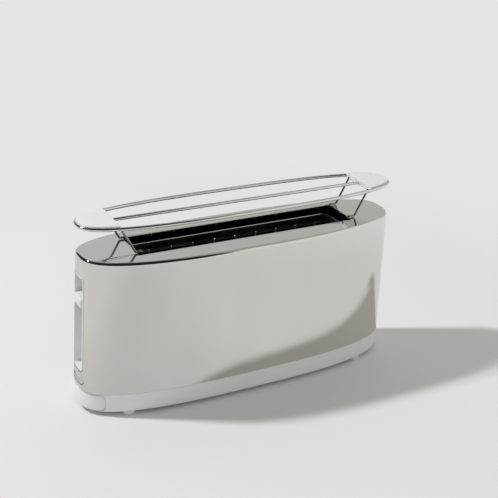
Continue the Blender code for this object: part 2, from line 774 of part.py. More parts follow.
def make_top_plate():
    loops = []
    for i in range(RIM_STEPS + 1):
        angle = math.pi / 2 * i / RIM_STEPS
        z = Z_RIM + RIM_RADIUS * math.sin(angle)
        loops.append(body_oval(max(z, Z_RIM + CLEARANCE), RIM_RADIUS * (1 - math.cos(angle))))
    hang = SLEEVE_WALL + CLEARANCE
    z_under = Z_PLATE - PLATE_SHEET
    z_skirt = Z_RIM - PLATE_SKIRT
    under = [
        body_oval(z_under, hang + PLATE_SHEET),
        body_oval(z_skirt, hang + PLATE_SHEET),
        body_oval(z_skirt, hang),
        body_oval(Z_RIM + CLEARANCE, hang),
    ]
    plate = loft("top_plate", [*under, *loops], "polished_steel")
    lip = prism(
        "lip",
        rounded_rectangle(
            SLOT_LENGTH + 2 * PLATE_SHEET, SLOT_WIDTH + 2 * PLATE_SHEET, SLOT_CORNER + PLATE_SHEET
        ),
        "Z",
        Z_PLATE - SLOT_LIP_DEPTH,
        Z_PLATE - PLATE_SHEET / 2,
    )
    fuse(plate, lip)
    flare = []
    for i in range(4):
        angle = math.pi / 2 * i / 3
        wide = SLOT_LIP_RADIUS * (1 - math.cos(angle))
        z = Z_PLATE - SLOT_LIP_RADIUS * (1 - math.sin(angle))
        outline = rounded_rectangle(SLOT_LENGTH + 2 * wide, SLOT_WIDTH + 2 * wide, SLOT_CORNER + wide)
        flare.append(placed(outline, "Z", z))
    first = placed(rounded_rectangle(SLOT_LENGTH, SLOT_WIDTH, SLOT_CORNER), "Z", Z_PLATE - SLOT_LIP_DEPTH - OVERRUN)
    last = [point + Vector((0, 0, OVERRUN)) for point in flare[-1]]
    cut(plate, loft("slot", [first, *flare, last]))
    smooth(plate)


def make_slot_frame():
    outer = rounded_rectangle(
        FRAME_LENGTH + 2 * FRAME_WALL, FRAME_WIDTH + 2 * FRAME_WALL, FRAME_CORNER + FRAME_WALL
    )
    frame = prism("slot_frame", outer, "Z", Z_FRAME, Z_FRAME_TOP, "satin_steel")
    reach = FRAME_WALL + FRAME_FLANGE
    flange = rounded_rectangle(FRAME_LENGTH + 2 * reach, FRAME_WIDTH + 2 * reach, FRAME_CORNER)
    fuse(frame, prism("flange", flange, "Z", Z_FRAME, Z_FRAME + SHEET))
    opening = rounded_rectangle(FRAME_LENGTH, FRAME_WIDTH, FRAME_CORNER)
    cut(frame, prism("opening", opening, "Z", Z_FRAME - OVERRUN, Z_FRAME_TOP + OVERRUN))
    smooth(frame)


def board_tabs():
    return [BOARD_BOTTOM + share * (BOARD_TOP - BOARD_BOTTOM) for share in TAB_SHARES]


def guard_rails():
    return [GUARD_BOTTOM + share * (GUARD_TOP - GUARD_BOTTOM) for share in GUARD_RAIL_SHARES]


def rail_y():
    return GUARD_Y + GUARD_WIRE_RADIUS + GUARD_RAIL_RADIUS / 2


def make_end_plates():
    slit_low = CARRIER_TOP - SPINE_HEIGHT - LEVER_TRAVEL_DOWN - 2 * SLIT_GAP
    slit_high = CARRIER_TOP + LEVER_TRAVEL_UP + 2 * SLIT_GAP
    wide = END_PLATE_FOOT_WIDTH / 2
    narrow = CHAMBER_WIDTH / 2 + 2 * SHEET
    z_shoulder = Z_CHASSIS + END_PLATE_FOOT_HEIGHT
    half_outline = [(wide, Z_CHASSIS), (wide, z_shoulder), (narrow, z_shoulder + wide - narrow), (narrow, Z_CHASSIS_TOP)]
    outline = half_outline + [(-y, z) for y, z in reversed(half_outline)]
    for end, sx in (("left", -1), ("right", 1)):
        near, far = sx * END_X, sx * (END_X + SHEET)
        plate = prism(f"end_plate_{end}", outline, "X", min(near, far), max(near, far), "satin_steel")
        lane = sorted((sx * (END_X - OVERRUN), sx * (END_X + OVERRUN)))
        for sy in (-1, 1):
            inward = sorted((sx * (END_X - FLANGE_DEPTH), sx * (END_X + SHEET)))
            flange_y = sorted((sy * FLANGE_INNER_WIDTH / 2, sy * wide))
            fuse(plate, box("flange", inward, flange_y, (Z_CHASSIS, Z_CHASSIS + SHEET)))
            screw_at = (sx * SCREW_X, sy * SCREW_Y)
            cut(
                plate,
                cylinder(
                    "screw_hole",
                    SCREW_RADIUS + CLEARANCE,
                    "Z",
                    Z_CHASSIS - OVERRUN,
                    Z_CHASSIS + OVERRUN,
                    centre=screw_at,
                    sides=12,
                ),
            )
            board_y = (sy * BOARD_Y - BOARD_SHEET / 2 - CLEARANCE, sy * BOARD_Y + BOARD_SHEET / 2 + CLEARANCE)
            for z in board_tabs():
                half = TAB_HEIGHT / 2 + CLEARANCE
                cut(plate, box("tab_slot", lane, board_y, (z - half, z + half)))
            for z in guard_rails():
                hole_radius = GUARD_RAIL_RADIUS + CLEARANCE
                cut(
                    plate,
                    cylinder("rail_hole", hole_radius, "X", *lane, centre=(sy * rail_y(), z), sides=8),
                )
        slit_half = SPINE_WIDTH / 2 + SLIT_GAP
        cut(plate, box("slit", lane, (-slit_half, slit_half), (slit_low, slit_high)))
        if sx < 0:
            tab_y = (SPRING_Y - EAR_WIDTH / 2 - SHEET, ROD_Y + LUG_WIDTH / 2)
            tab_x = (SPRING_X - SPRING_RADIUS - SHEET, near)
            centres = standoff_centres()
            posts = [
                cylinder(
                    "post", STANDOFF_RADIUS, "X", near - SHEET - STANDOFF_LENGTH, near - SHEET / 2, centre=c, sides=8
                )
                for c in centres
            ]
            fuse(plate, *posts)
        else:
            tab_y = (-RUNNER_WIDTH / 2, RUNNER_WIDTH / 2)
            tab_x = (near, RIGHT_ROD_X + RUNNER_LENGTH / 2)
        fuse(plate, box("tab", tab_x, tab_y, (Z_TAB - TAB_SHEET, Z_TAB)))
        smooth(plate)


def make_reflectors():
    low, top = Z_CHASSIS, Z_CHASSIS_TOP
    face = CHAMBER_WIDTH / 2
    beads = [low + share * (top - low) for share in BEAD_HEIGHT_SHARES]
    inner = [(face - REFLECTOR_LIP, top - SHEET), (face, top - SHEET)]
    for b in (1, 0):
        z_low, z_high = beads[2 * b], beads[2 * b + 1]
        step = REFLECTOR_BEAD
        inner += [(face, z_high + step), (face - step, z_high), (face - step, z_low), (face, z_low - step)]
    inner.append((face, low))
    outer = [(y + SHEET, z) for y, z in reversed(inner[2:])]
    outline = inner + outer + [(face + SHEET, top), (face - REFLECTOR_LIP, top)]
    end = END_X - CLEARANCE
    for side, sy in (("front", -1), ("back", 1)):
        profile = [(sy * y, z) for y, z in outline]
        prism(f"reflector_{side}", profile, "X", -end, end, "satin_steel")


def make_heaters():
    end = END_X - CLEARANCE
    half = BOARD_SHEET / 2
    pitch = (BOARD_TOP - BOARD_BOTTOM) / RIBBON_COUNT
    rising = [(half, BOARD_BOTTOM)]
    for i in range(RIBBON_COUNT):
        z = BOARD_BOTTOM + pitch * (i + 0.5)
        low, high = z - RIBBON_WIDTH / 2, z + RIBBON_WIDTH / 2
        rising += [(half, low), (half + RIBBON_RISE, low), (half + RIBBON_RISE, high), (half, high)]
    rising.append((half, BOARD_TOP))
    outline = rising + [(-y, z) for y, z in reversed(rising)]
    for side, sy in (("front", -1), ("back", 1)):
        board = prism(f"heater_board_{side}", outline, "X", -end, end, "mica", centre=(sy * BOARD_Y, 0))
        for z in board_tabs():
            reach = END_X + TAB_REACH
            thick = (sy * BOARD_Y - half, sy * BOARD_Y + half)
            fuse(board, box("tabs", (-reach, reach), thick, (z - TAB_HEIGHT / 2, z + TAB_HEIGHT / 2)))


def make_guards():
    pitch = GUARD_SPAN / (GUARD_WIRES - 1)
    reach = END_X + TAB_REACH
    for side, sy in (("front", -1), ("back", 1)):
        y = sy * GUARD_Y
        rails = [
            cylinder("rail", GUARD_RAIL_RADIUS, "X", -reach, reach, "satin_steel", (sy * rail_y(), z), sides=8)
            for z in guard_rails()
        ]
        guard = rails[0]
        guard.name = f"bread_guard_{side}"
        guard.hide_render = False
        for i in range(GUARD_WIRES):
            x = -GUARD_SPAN / 2 + i * pitch
            upright = cylinder("upright", GUARD_WIRE_RADIUS, "Z", GUARD_BOTTOM, GUARD_TOP, centre=(x, y), sides=8)
            fuse(guard, upright)
        fuse(guard, rails[1])
        smooth(guard)


def finger_xs():
    pitch = GUARD_SPAN / (GUARD_WIRES - 1)
    return [-GUARD_SPAN / 2 + (i - 0.5) * pitch for i in range(GUARD_WIRES + 1)]


def make_carriage():
    x_plate = (CARRIAGE_X - CARRIAGE_SHEET, CARRIAGE_X)
    half = CARRIAGE_WIDTH / 2
    z_top = CARRIAGE_BOTTOM + CARRIAGE_HEIGHT
    carriage = box("carriage", x_plate, (-half, half + LUG_WIDTH / 4), (CARRIAGE_BOTTOM, z_top), "satin_steel")
    arm_low = KNOB_BOTTOM + (KNOB_HEIGHT - ARM_HEIGHT) / 2
    arm = box(
        "arm",
        (knob_back() - ARM_INTO_KNOB, CARRIAGE_X - CARRIAGE_SHEET / 2),
        (-ARM_WIDTH / 2, ARM_WIDTH / 2),
        (arm_low, arm_low + ARM_HEIGHT),
    )
    ear = box(
        "ear",
        (SPRING_X - SPRING_RADIUS, CARRIAGE_X - CARRIAGE_SHEET / 2),
        (SPRING_Y - EAR_WIDTH / 2, SPRING_Y + EAR_WIDTH / 2),
        (EAR_BOTTOM, EAR_BOTTOM + EAR_HEIGHT),
    )
    fuse(carriage, arm, ear)
    for low in (CARRIAGE_BOTTOM, z_top - LUG_HEIGHT):
        lug = box(
            "lug",
            (CARRIAGE_X - CARRIAGE_SHEET / 2, CARRIAGE_X + LUG_DEPTH),
            (ROD_Y - LUG_WIDTH / 2, ROD_Y + LUG_WIDTH / 2),
            (low, low + LUG_HEIGHT),
        )
        fuse(carriage, lug)
    bore = cylinder(
        "bore",
        ROD_RADIUS + CLEARANCE,
        "Z",
        CARRIAGE_BOTTOM - OVERRUN,
        z_top + OVERRUN,
        centre=(ROD_X, ROD_Y),
        sides=20,
    )
    cut(carriage, bore)
    smooth(carriage)
    knob = make_knob(arm_low)
    armature = box(
        "latch_armature",
        (armature_x()[0], armature_x()[1]),
        (ARMATURE_Y - ARMATURE_WIDTH / 2, ARMATURE_Y + ARMATURE_WIDTH / 2),
        (ARMATURE_BOTTOM, ARMATURE_BOTTOM + ARMATURE_THICKNESS),
        "satin_steel",
    )
    carrier, runner = make_carrier()
    at_joint("carriage_slide", (ROD_X, ROD_Y, CARRIAGE_BOTTOM), (carriage, knob, armature, carrier, runner))


def armature_x():
    far = CARRIAGE_X - CARRIAGE_SHEET - CLEARANCE
    return (far - ARMATURE_LENGTH, far)


def recess_back():
    return -BODY_LENGTH / 2 + RECESS_DEPTH


def knob_back():
    return recess_back() - KNOB_BACK_GAP


def end_face_x(z):
    # Where the sleeve's left end lies at a height, in the middle plane.
    return -BODY_LENGTH / 2 + TOP_DRAW_IN * (z - Z_SLEEVE) / SLEEVE_HEIGHT


def make_knob(arm_low):
    half = RECESS_WIDTH / 2 - PANEL_GAP - PANEL_RIM - KNOB_SIDE_GAP
    front = end_face_x(KNOB_BOTTOM + KNOB_HEIGHT / 2) - KNOB_PROUD
    knob = box(
        "lever_knob",
        (front, knob_back()),
        (-half, half),
        (KNOB_BOTTOM, KNOB_BOTTOM + KNOB_HEIGHT),
        "white_plastic",
    )
    round_edges(knob, KNOB_EDGE)
    apply_modifiers(knob)
    gap = CLEARANCE
    socket = box(
        "socket",
        (knob_back() - ARM_INTO_KNOB - gap, knob_back() + OVERRUN),
        (-ARM_WIDTH / 2 - gap, ARM_WIDTH / 2 + gap),
        (arm_low - gap, arm_low + ARM_HEIGHT + gap),
    )
    cut(knob, socket)
    smooth(knob)
    return knob


def make_carrier():
    start = CARRIAGE_X + CLEARANCE
    end = RIGHT_ROD_X - RUNNER_LENGTH / 2 - CLEARANCE
    low = CARRIER_TOP - SPINE_HEIGHT
    carrier = box(
        "bread_carrier",
        (start, end),
        (-SPINE_WIDTH / 2, SPINE_WIDTH / 2),
        (low, CARRIER_TOP - FINGER_SAG),
        "satin_steel",
    )
    under = CARRIER_TOP - FINGER_DEPTH
    middle = CARRIER_TOP - FINGER_SAG
    profile = [
        (FINGER_REACH, CARRIER_TOP),
        (0, middle),
        (-FINGER_REACH, CARRIER_TOP),
        (-FINGER_REACH, under),
        (0, under - FINGER_SAG),
        (FINGER_REACH, under),
    ]
    for x in finger_xs():
        fuse(carrier, prism("finger", profile, "X", x - FINGER_THICKNESS / 2, x + FINGER_THICKNESS / 2))
    runner = box(
        "carrier_runner",
        (RIGHT_ROD_X - RUNNER_LENGTH / 2, RIGHT_ROD_X + RUNNER_LENGTH / 2),
        (-RUNNER_WIDTH / 2, RUNNER_WIDTH / 2),
        (low, CARRIER_TOP),
        "black_plastic",
    )
    bore = cylinder(
        "bore",
        RIGHT_ROD_RADIUS + CLEARANCE,
        "Z",
        low - OVERRUN,
        CARRIER_TOP + OVERRUN,
        centre=(RIGHT_ROD_X, 0),
        sides=20,
    )
    cut(runner, bore)
    return carrier, runner


def make_rods():
    top = Z_TAB - TAB_SHEET - CLEARANCE
    for name, radius, centre in (
        ("guide_rod_left", ROD_RADIUS, (ROD_X, ROD_Y)),
        ("guide_rod_right", RIGHT_ROD_RADIUS, (RIGHT_ROD_X, 0)),
    ):
        smooth(cylinder(name, radius, "Z", Z_CHASSIS, top, "satin_steel", centre, sides=20))


def make_spring():
    low = EAR_BOTTOM + EAR_HEIGHT + CLEARANCE
    high = Z_TAB - TAB_SHEET - CLEARANCE
    lead = 2 * SPRING_WIRE_RADIUS
    count = SPRING_TURNS * SPRING_POINTS_PER_TURN
    points = [Vector((SPRING_X + SPRING_RADIUS, SPRING_Y, low))]
    for i in range(count + 1):
        angle = 2 * math.pi * i / SPRING_POINTS_PER_TURN
        z = low + lead + (high - low - 2 * lead) * i / count
        points.append(
            Vector((SPRING_X + SPRING_RADIUS * math.cos(angle), SPRING_Y + SPRING_RADIUS * math.sin(angle), z))
        )
    points.append(Vector((SPRING_X + SPRING_RADIUS, SPRING_Y, high)))
    turn = SPRING_POINTS_PER_TURN
    apart = [(points[i + turn] - points[i]).length for i in range(1, count + 1 - turn)]
    print(f"return spring: least gap between turns {1000 * (min(apart) - 2 * SPRING_WIRE_RADIUS):.2f} mm")
    smooth(wire("return_spring", points, SPRING_WIRE_RADIUS, "satin_steel"))


def make_magnet():
    x0, x1 = armature_x()
    half = ARMATURE_WIDTH / 2
    top = ARMATURE_BOTTOM - LEVER_TRAVEL_DOWN - CLEARANCE
    magnet = box("holding_magnet", (x0, x1), (ARMATURE_Y - half, ARMATURE_Y + half), (Z_CHASSIS, top), "copper")
    coil = MAGNET_COIL_SHARE * half
    notch = (top - Z_CHASSIS) / 3
    for sy in (-1, 1):
        y = sorted((ARMATURE_Y + sy * coil, ARMATURE_Y + sy * (half - ARMATURE_THICKNESS)))
        cut(magnet, box("notch", (x0 - OVERRUN, x1 + OVERRUN), y, (top - notch, top + OVERRUN)))


def make_panel():
    behind = SLEEVE_WALL + CLEARANCE
    z_low = Z_SLEEVE + SPIGOT_HEIGHT + CLEARANCE
    z_high = RECESS_TOP + PANEL_TOP_MARGIN
    panel = loft("control_panel", [body_oval(z_low, behind), body_oval(z_high, behind)], "white_plastic")
    back = recess_back() + PANEL_BACK
    block = box(
        "block",
        (-BODY_LENGTH / 2, back),
        (-PANEL_WIDTH / 2, PANEL_WIDTH / 2),
        (z_low - OVERRUN, z_high + OVERRUN),
    )
    keep(panel, block)
    gap = PANEL_GAP
    for outline, centre in ((recess_outline(gap), recess_centre()), (pill_outline(gap), (0, PILL_CENTRE))):
        rim = loft("rim", [body_oval(Z_SLEEVE, PANEL_SET_BACK), body_oval(z_high, PANEL_SET_BACK)])
        keep(rim, end_prism("rim_outline", outline, centre, RECESS_DEPTH))
        fuse(panel, rim)
    cut(
        panel,
        end_prism("pocket", recess_outline(gap + PANEL_RIM), recess_centre(), RECESS_DEPTH),
        end_prism("pill_pocket", pill_outline(gap + PILL_RIM), (0, PILL_CENTRE), PILL_DEPTH),
    )
    arm_low = KNOB_BOTTOM + (KNOB_HEIGHT - ARM_HEIGHT) / 2
    slit = box(
        "slit",
        (recess_back() - OVERRUN, back + OVERRUN),
        (-ARM_WIDTH / 2 - SLIT_GAP, ARM_WIDTH / 2 + SLIT_GAP),
        (arm_low - LEVER_TRAVEL_DOWN - SLIT_GAP, arm_low + ARM_HEIGHT + LEVER_TRAVEL_UP + SLIT_GAP),
    )
    stem_slit = box(
        "stem_slit",
        (-BODY_LENGTH / 2 + PILL_DEPTH - OVERRUN, back + OVERRUN),
        (SLIDER_REST_Y - STEM_WIDTH / 2 - SLIT_GAP, SLIDER_REST_Y + SLIDER_TRAVEL + STEM_WIDTH / 2 + SLIT_GAP),
        (PILL_CENTRE - STEM_HEIGHT / 2 - CLEARANCE, PILL_CENTRE + STEM_HEIGHT / 2 + CLEARANCE),
    )
    cut(panel, slit, stem_slit)
    smooth(panel)


def make_slider():
    front = end_face_x(PILL_CENTRE) - SLIDER_PROUD
    pocket_back = -BODY_LENGTH / 2 + PILL_DEPTH
    centre = (SLIDER_REST_Y, PILL_CENTRE)
    rows = ((front, SLIDER_EDGE), (front + SLIDER_EDGE, 0), (pocket_back - CLEARANCE, 0))
    loops = []
    for x, shrink in rows:
        height = SLIDER_HEIGHT - 2 * shrink
        outline = rounded_rectangle(SLIDER_WIDTH - 2 * shrink, height, height * SLIDER_ROUND_SHARE)
        loops.append(placed(outline, "X", x, centre))
    slider = loft("browning_slider", loops, "white_plastic")
    pot_face = recess_back() + PANEL_BACK + CLEARANCE
    stem = box(
        "stem",
        (pocket_back - OVERRUN, pot_face + STEM_INTO_POT),
        (SLIDER_REST_Y - STEM_WIDTH / 2, SLIDER_REST_Y + STEM_WIDTH / 2),
        (PILL_CENTRE - STEM_HEIGHT / 2, PILL_CENTRE + STEM_HEIGHT / 2),
    )
    fuse(slider, stem)
    smooth(slider)
    at_joint("browning_slide", (pocket_back, SLIDER_REST_Y, PILL_CENTRE), (slider,))
    pot = box(
        "slider_pot",
        (pot_face, pot_face + POT_LENGTH),
        (-POT_WIDTH / 2, POT_WIDTH / 2),
        (PILL_CENTRE - POT_HEIGHT / 2, PILL_CENTRE + POT_HEIGHT / 2),
        "black_plastic",
    )
    groove = box(
        "groove",
        (pot_face - OVERRUN, pot_face + STEM_INTO_POT + CLEARANCE),
        (SLIDER_REST_Y - STEM_WIDTH / 2 - SLIT_GAP, SLIDER_REST_Y + SLIDER_TRAVEL + STEM_WIDTH / 2 + SLIT_GAP),
        (PILL_CENTRE - STEM_HEIGHT / 2 - CLEARANCE, PILL_CENTRE + STEM_HEIGHT / 2 + CLEARANCE),
    )
    cut(pot, groove)


def standoff_centres():
    y_near = CIRCUIT_NEAR_Y - 2 * STANDOFF_RADIUS
    y_far = CIRCUIT_NEAR_Y - CIRCUIT_WIDTH + 2 * STANDOFF_RADIUS
    z_low = CIRCUIT_BOTTOM + 2 * STANDOFF_RADIUS
    z_high = CIRCUIT_BOTTOM + CIRCUIT_HEIGHT - 2 * STANDOFF_RADIUS
    return [(y, z) for y in (y_near, y_far) for z in (z_low, z_high)]


def make_circuit_board():
    face = -END_X - SHEET - STANDOFF_LENGTH - CLEARANCE
    y = (CIRCUIT_NEAR_Y - CIRCUIT_WIDTH, CIRCUIT_NEAR_Y)
    board = box(
        "circuit_board",
        (face - CIRCUIT_SHEET, face),
        y,
        (CIRCUIT_BOTTOM, CIRCUIT_BOTTOM + CIRCUIT_HEIGHT),
        "board_green",
    )
    middle = (y[0] + y[1]) / 2
    out, wide, tall = RELAY_SIZE
    relay = box(
        "relay",
        (face - CIRCUIT_SHEET - out, face - CIRCUIT_SHEET / 2),
        (middle - wide / 2, middle + wide / 2),
        (RELAY_BOTTOM, RELAY_BOTTOM + tall),
    )
    can = cylinder(
        "capacitor",
        CAPACITOR_RADIUS,
        "X",
        face - CIRCUIT_SHEET - CAPACITOR_LENGTH,
        face - CIRCUIT_SHEET / 2,
        centre=(middle, CAPACITOR_Z),
    )
    fuse(board, relay, can)
    smooth(board)


def rack_oval(inset, z):
    return oval(RACK_LENGTH / 2 - inset, RACK_WIDTH / 2 - inset, z, RACK_POINTS)


def leg_path(sx):
    # One wire bends over the slot's end, stands on the plate, rises to the grip and comes down again.
    z_run = Z_PLATE + CLEARANCE + LEG_WIRE_RADIUS
    x_hook = SLOT_LENGTH / 2 - HOOK_IN
    x_stand = SLOT_LENGTH / 2 + LEG_STAND_OUT
    x_top = RACK_LENGTH / 2 - GRIP_LENGTH + LEG_TOP_INTO_GRIP
    corners = [
        Vector((sx * x_hook, -LEG_FOOT_Y, z_run - HOOK_DROP)),
        Vector((sx * x_hook, -LEG_FOOT_Y, z_run)),
        Vector((sx * x_stand, -LEG_FOOT_Y, z_run)),
        Vector((sx * x_top, -LEG_TOP_Y, Z_RACK)),
    ]
    mirrored = [Vector((point.x, -point.y, point.z)) for point in reversed(corners)]
    return bent(corners + mirrored, LEG_BEND)


def make_rack():
    rim = wire("rack_rim", rack_oval(0, Z_RACK), RIM_WIRE_RADIUS, "polished_steel", FINE_WIRE_STEPS, closed=True)
    x_face = RACK_LENGTH / 2 - GRIP_LENGTH
    x_rod = x_face + ROD_INTO_GRIP
    rod = cylinder("rack_rod", ROD_WIRE_RADIUS, "X", -x_rod, x_rod, "polished_steel", (0, Z_RACK), sides=12)
    smooth(rim, rod)
    pieces = [rim, rod]
    for end, sx in (("left", -1), ("right", 1)):
        leg = wire(f"rack_leg_{end}", leg_path(sx), LEG_WIRE_RADIUS, "polished_steel", FINE_WIRE_STEPS)
        smooth(leg)
        rows = [(0, Z_RACK - GRIP_UNDER)]
        z_edge = Z_RACK + GRIP_OVER - GRIP_EDGE_RADIUS
        for i in range(3):
            angle = math.pi / 4 * i
            rows.append((GRIP_EDGE_RADIUS * (1 - math.cos(angle)), z_edge + GRIP_EDGE_RADIUS * math.sin(angle)))
        rows.append((GRIP_CROWN_INSET, Z_RACK + GRIP_OVER + GRIP_CROWN))
        grip = loft(f"rack_grip_{end}", [rack_oval(GRIP_INSET + inset, z) for inset, z in rows], "white_plastic")
        x = sorted((sx * x_face, sx * RACK_LENGTH))
        keep(grip, box("end", x, (-RACK_WIDTH, RACK_WIDTH), (Z_RACK - RACK_HEIGHT, Z_RACK + RACK_HEIGHT)))
        groove = wire("groove", rack_oval(0, Z_RACK), RIM_WIRE_RADIUS + CLEARANCE, None, FINE_WIRE_STEPS, closed=True)
        rod_x = sorted((sx * (x_face - OVERRUN), sx * (x_rod + CLEARANCE)))
        rod_hole = cylinder("rod_hole", ROD_WIRE_RADIUS + CLEARANCE, "X", *rod_x, centre=(0, Z_RACK), sides=12)
        leg_hole = wire("leg_hole", leg_path(sx), LEG_WIRE_RADIUS + CLEARANCE, None, FINE_WIRE_STEPS)
        cut(grip, groove, rod_hole, leg_hole)
        smooth(grip)
        pieces += [leg, grip]
    at_joint("rack_lift", (0, 0, Z_PLATE), pieces)


def make_toaster():
    clear_scene()
    make_base()
    make_gland()
    make_feet()
    make_screws()
    make_tray()
    make_sleeve()
    make_top_plate()
    make_slot_frame()
    make_end_plates()
    make_reflectors()
    make_heaters()
    make_guards()
    make_rods()
    make_carriage()
    make_spring()
    make_magnet()
    make_panel()
    make_slider()
    make_circuit_board()
    make_rack()


make_toaster()
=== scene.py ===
import math
import bmesh
import bpy
from mathutils import Matrix, Quaternion, Vector


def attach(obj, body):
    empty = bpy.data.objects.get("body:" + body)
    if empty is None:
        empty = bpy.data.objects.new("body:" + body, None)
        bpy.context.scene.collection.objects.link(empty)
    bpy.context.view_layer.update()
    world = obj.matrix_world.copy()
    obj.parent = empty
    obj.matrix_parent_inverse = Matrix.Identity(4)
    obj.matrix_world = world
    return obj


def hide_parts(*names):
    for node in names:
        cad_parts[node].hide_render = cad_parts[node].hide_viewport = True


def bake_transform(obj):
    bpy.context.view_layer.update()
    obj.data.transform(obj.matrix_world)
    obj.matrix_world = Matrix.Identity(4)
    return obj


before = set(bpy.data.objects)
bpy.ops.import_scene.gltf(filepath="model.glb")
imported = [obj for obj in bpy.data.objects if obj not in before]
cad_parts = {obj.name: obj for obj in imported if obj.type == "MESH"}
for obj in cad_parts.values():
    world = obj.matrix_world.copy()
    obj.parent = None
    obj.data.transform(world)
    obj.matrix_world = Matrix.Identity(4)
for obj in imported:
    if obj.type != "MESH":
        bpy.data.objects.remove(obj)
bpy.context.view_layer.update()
print("frame loaded:", len(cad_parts), "solids")

# The body's oval: a superellipse that draws in a little towards the top
body = {"halfLength": 0.18989, "halfWidth": 0.05195, "power": 2.8, "drawIn": 0.0038, "sides": 384,
        "baseLow": 0.005, "seam": 0.0264, "sleeveLow": 0.027, "rim": 0.177, "plate": 0.179, "bend": 0.0032,
        "baseInset": 0.001}

# In front of and behind the slot the top leans down a little, from two straight creases
lean = {"crease": 0.0193, "slope": 0.056, "from": 0.168, "fadeIn": 0.005}

# How far cuts through the left end reach along X, from outside it inwards
endCut = {"far": -0.21, "out": -0.2, "skin": -0.195, "in": -0.16, "deep": -0.15}

# How near counts as there, when faces are picked by where they lie
near = 0.0001


# Shaping helpers

def bodySize(z, inset):
    drawn = inset + body["drawIn"] * (z - body["sleeveLow"]) / (body["rim"] - body["sleeveLow"])
    return body["halfLength"] - drawn, body["halfWidth"] - drawn, z


def baseSize(z, inset):
    return body["halfLength"] - body["baseInset"] - inset, body["halfWidth"] - body["baseInset"] - inset, z


def bendInset(z):
    # How far the rounded top edge has turned in at a height.
    rise = max(0.0, z - (body["plate"] - body["bend"])) / body["bend"]
    return body["bend"] * (1 - math.sqrt(max(0.0, 1 - rise * rise)))


def leanTop(bm):
    for v in bm.verts:
        share = min(1.0, max(0.0, (v.co.z - lean["from"]) / lean["fadeIn"]))
        v.co.z -= share * lean["slope"] * max(0.0, abs(v.co.y) - lean["crease"])


def quarterTurn(steps):
    # Sine and cosine of equal steps through a quarter turn, for rounded edges.
    turns = [math.pi / 2 * i / steps for i in range(steps + 1)]
    return [(math.sin(turn), math.cos(turn)) for turn in turns]


def ovalPoint(turn, halfX, halfY):
    c, s, power = math.cos(turn), math.sin(turn), 2 / body["power"]
    return halfX * math.copysign(abs(c) ** power, c), halfY * math.copysign(abs(s) ** power, s)


def ringEdges(verts):
    inside = set(verts)
    return [e for e in {e for v in verts for e in v.link_edges} if e.verts[0] in inside and e.verts[1] in inside]


def growRing(bm, edges):
    made = bmesh.ops.extrude_edge_only(bm, edges=edges)["geom"]
    verts = [g for g in made if isinstance(g, bmesh.types.BMVert)]
    return ringEdges(verts), verts


def capRing(bm, edges):
    return bmesh.ops.contextual_create(bm, geom=edges)["faces"]


def roundOff(bm, geom, width, steps, affect="EDGES", clamp=False):
    bmesh.ops.bevel(bm, geom=geom, offset=width, offset_type="OFFSET", segments=steps, profile=0.5,
                    affect=affect, material=-1, clamp_overlap=clamp)


def ovalStack(bm, sizes, sides=body["sides"]):
    # Draws an oval up through (half length, half width, height) and gives its first and last ring.
    halfX, halfY, z = sizes[0]
    verts = bmesh.ops.create_circle(bm, segments=sides, radius=1.0)["verts"]
    for v in verts:
        v.co = (*ovalPoint(math.atan2(v.co.y, v.co.x), halfX, halfY), z)
    first = edges = ringEdges(verts)
    for nextX, nextY, nextZ in sizes[1:]:
        edges, verts = growRing(bm, edges)
        bmesh.ops.scale(bm, vec=(nextX / halfX, nextY / halfY, 1), verts=verts)
        bmesh.ops.translate(bm, vec=(0, 0, nextZ - z), verts=verts)
        halfX, halfY, z = nextX, nextY, nextZ
    return first, edges


def ovalSolid(sizes, sides=body["sides"]):
    bm = bmesh.new()
    for ring in ovalStack(bm, sizes, sides):
        capRing(bm, ring)
    return bm


def roundedRing(bm, width, height, corner, z, steps):
    # A flat ring with rounded corners: a square whose corners are bevelled.
    start = len(bm.verts)
    made = bmesh.ops.create_grid(bm, x_segments=1, y_segments=1, size=0.5)["verts"]
    bmesh.ops.scale(bm, vec=(width, height, 1), verts=made)
    roundOff(bm, made, corner, steps, "VERTICES")
    bm.verts.ensure_lookup_table()
    verts = bm.verts[start:]
    bmesh.ops.translate(bm, vec=(0, 0, z), verts=verts)
    edges = ringEdges(verts)
    bmesh.ops.delete(bm, geom=[f for f in bm.faces if all(v in set(verts) for v in f.verts)], context="FACES_ONLY")
    return edges


def roundedStack(bm, rows, steps=10):
    # Draws a rounded ring from row to row: each is (width, height, corner, z).
    first = edges = roundedRing(bm, *rows[0], steps)
    for old, new in zip(rows, rows[1:]):
        edges, verts = growRing(bm, edges)
        for v in verts:
            for axis in (0, 1):
                was, now = old[axis] / 2 - old[2], new[axis] / 2 - new[2]
                straight = max(-was, min(was, v.co[axis]))
                v.co[axis] = straight * now / was + (v.co[axis] - straight) * new[2] / old[2]
            v.co.z = new[3]
    return first, edges


def rowOut(size, out, z, corner=None):
    # A row of a rounded stack, set out from a piece's own length, width and corner.
    return size["long"] + 2 * out, size["wide"] + 2 * out, corner or size["corner"] + out, z


def alongX(centreY, centreZ):
    # Turns a shape drawn flat and raised along Z so that its height runs along X.
    return Matrix(((0, 0, 1, 0), (1, 0, 0, centreY), (0, 1, 0, centreZ), (0, 0, 0, 1)))


def alongY(centreX, centreZ):
    return Matrix(((1, 0, 0, centreX), (0, 0, -1, 0), (0, 1, 0, centreZ), (0, 0, 0, 1)))


def roundedSlab(width, height, corner, start, end, place, steps, ends=0.0):
    # A slab with rounded corners; its far end's edge may be rounded too.
    bm = bmesh.new()
    low, high = roundedStack(bm, [(width, height, corner, start), (width, height, corner, end)], steps)
    capRing(bm, low)
    far = capRing(bm, high)
    if ends:
        roundOff(bm, [e for f in far for e in f.edges], ends, 6)
    bmesh.ops.transform(bm, matrix=place, verts=bm.verts)
    return bm


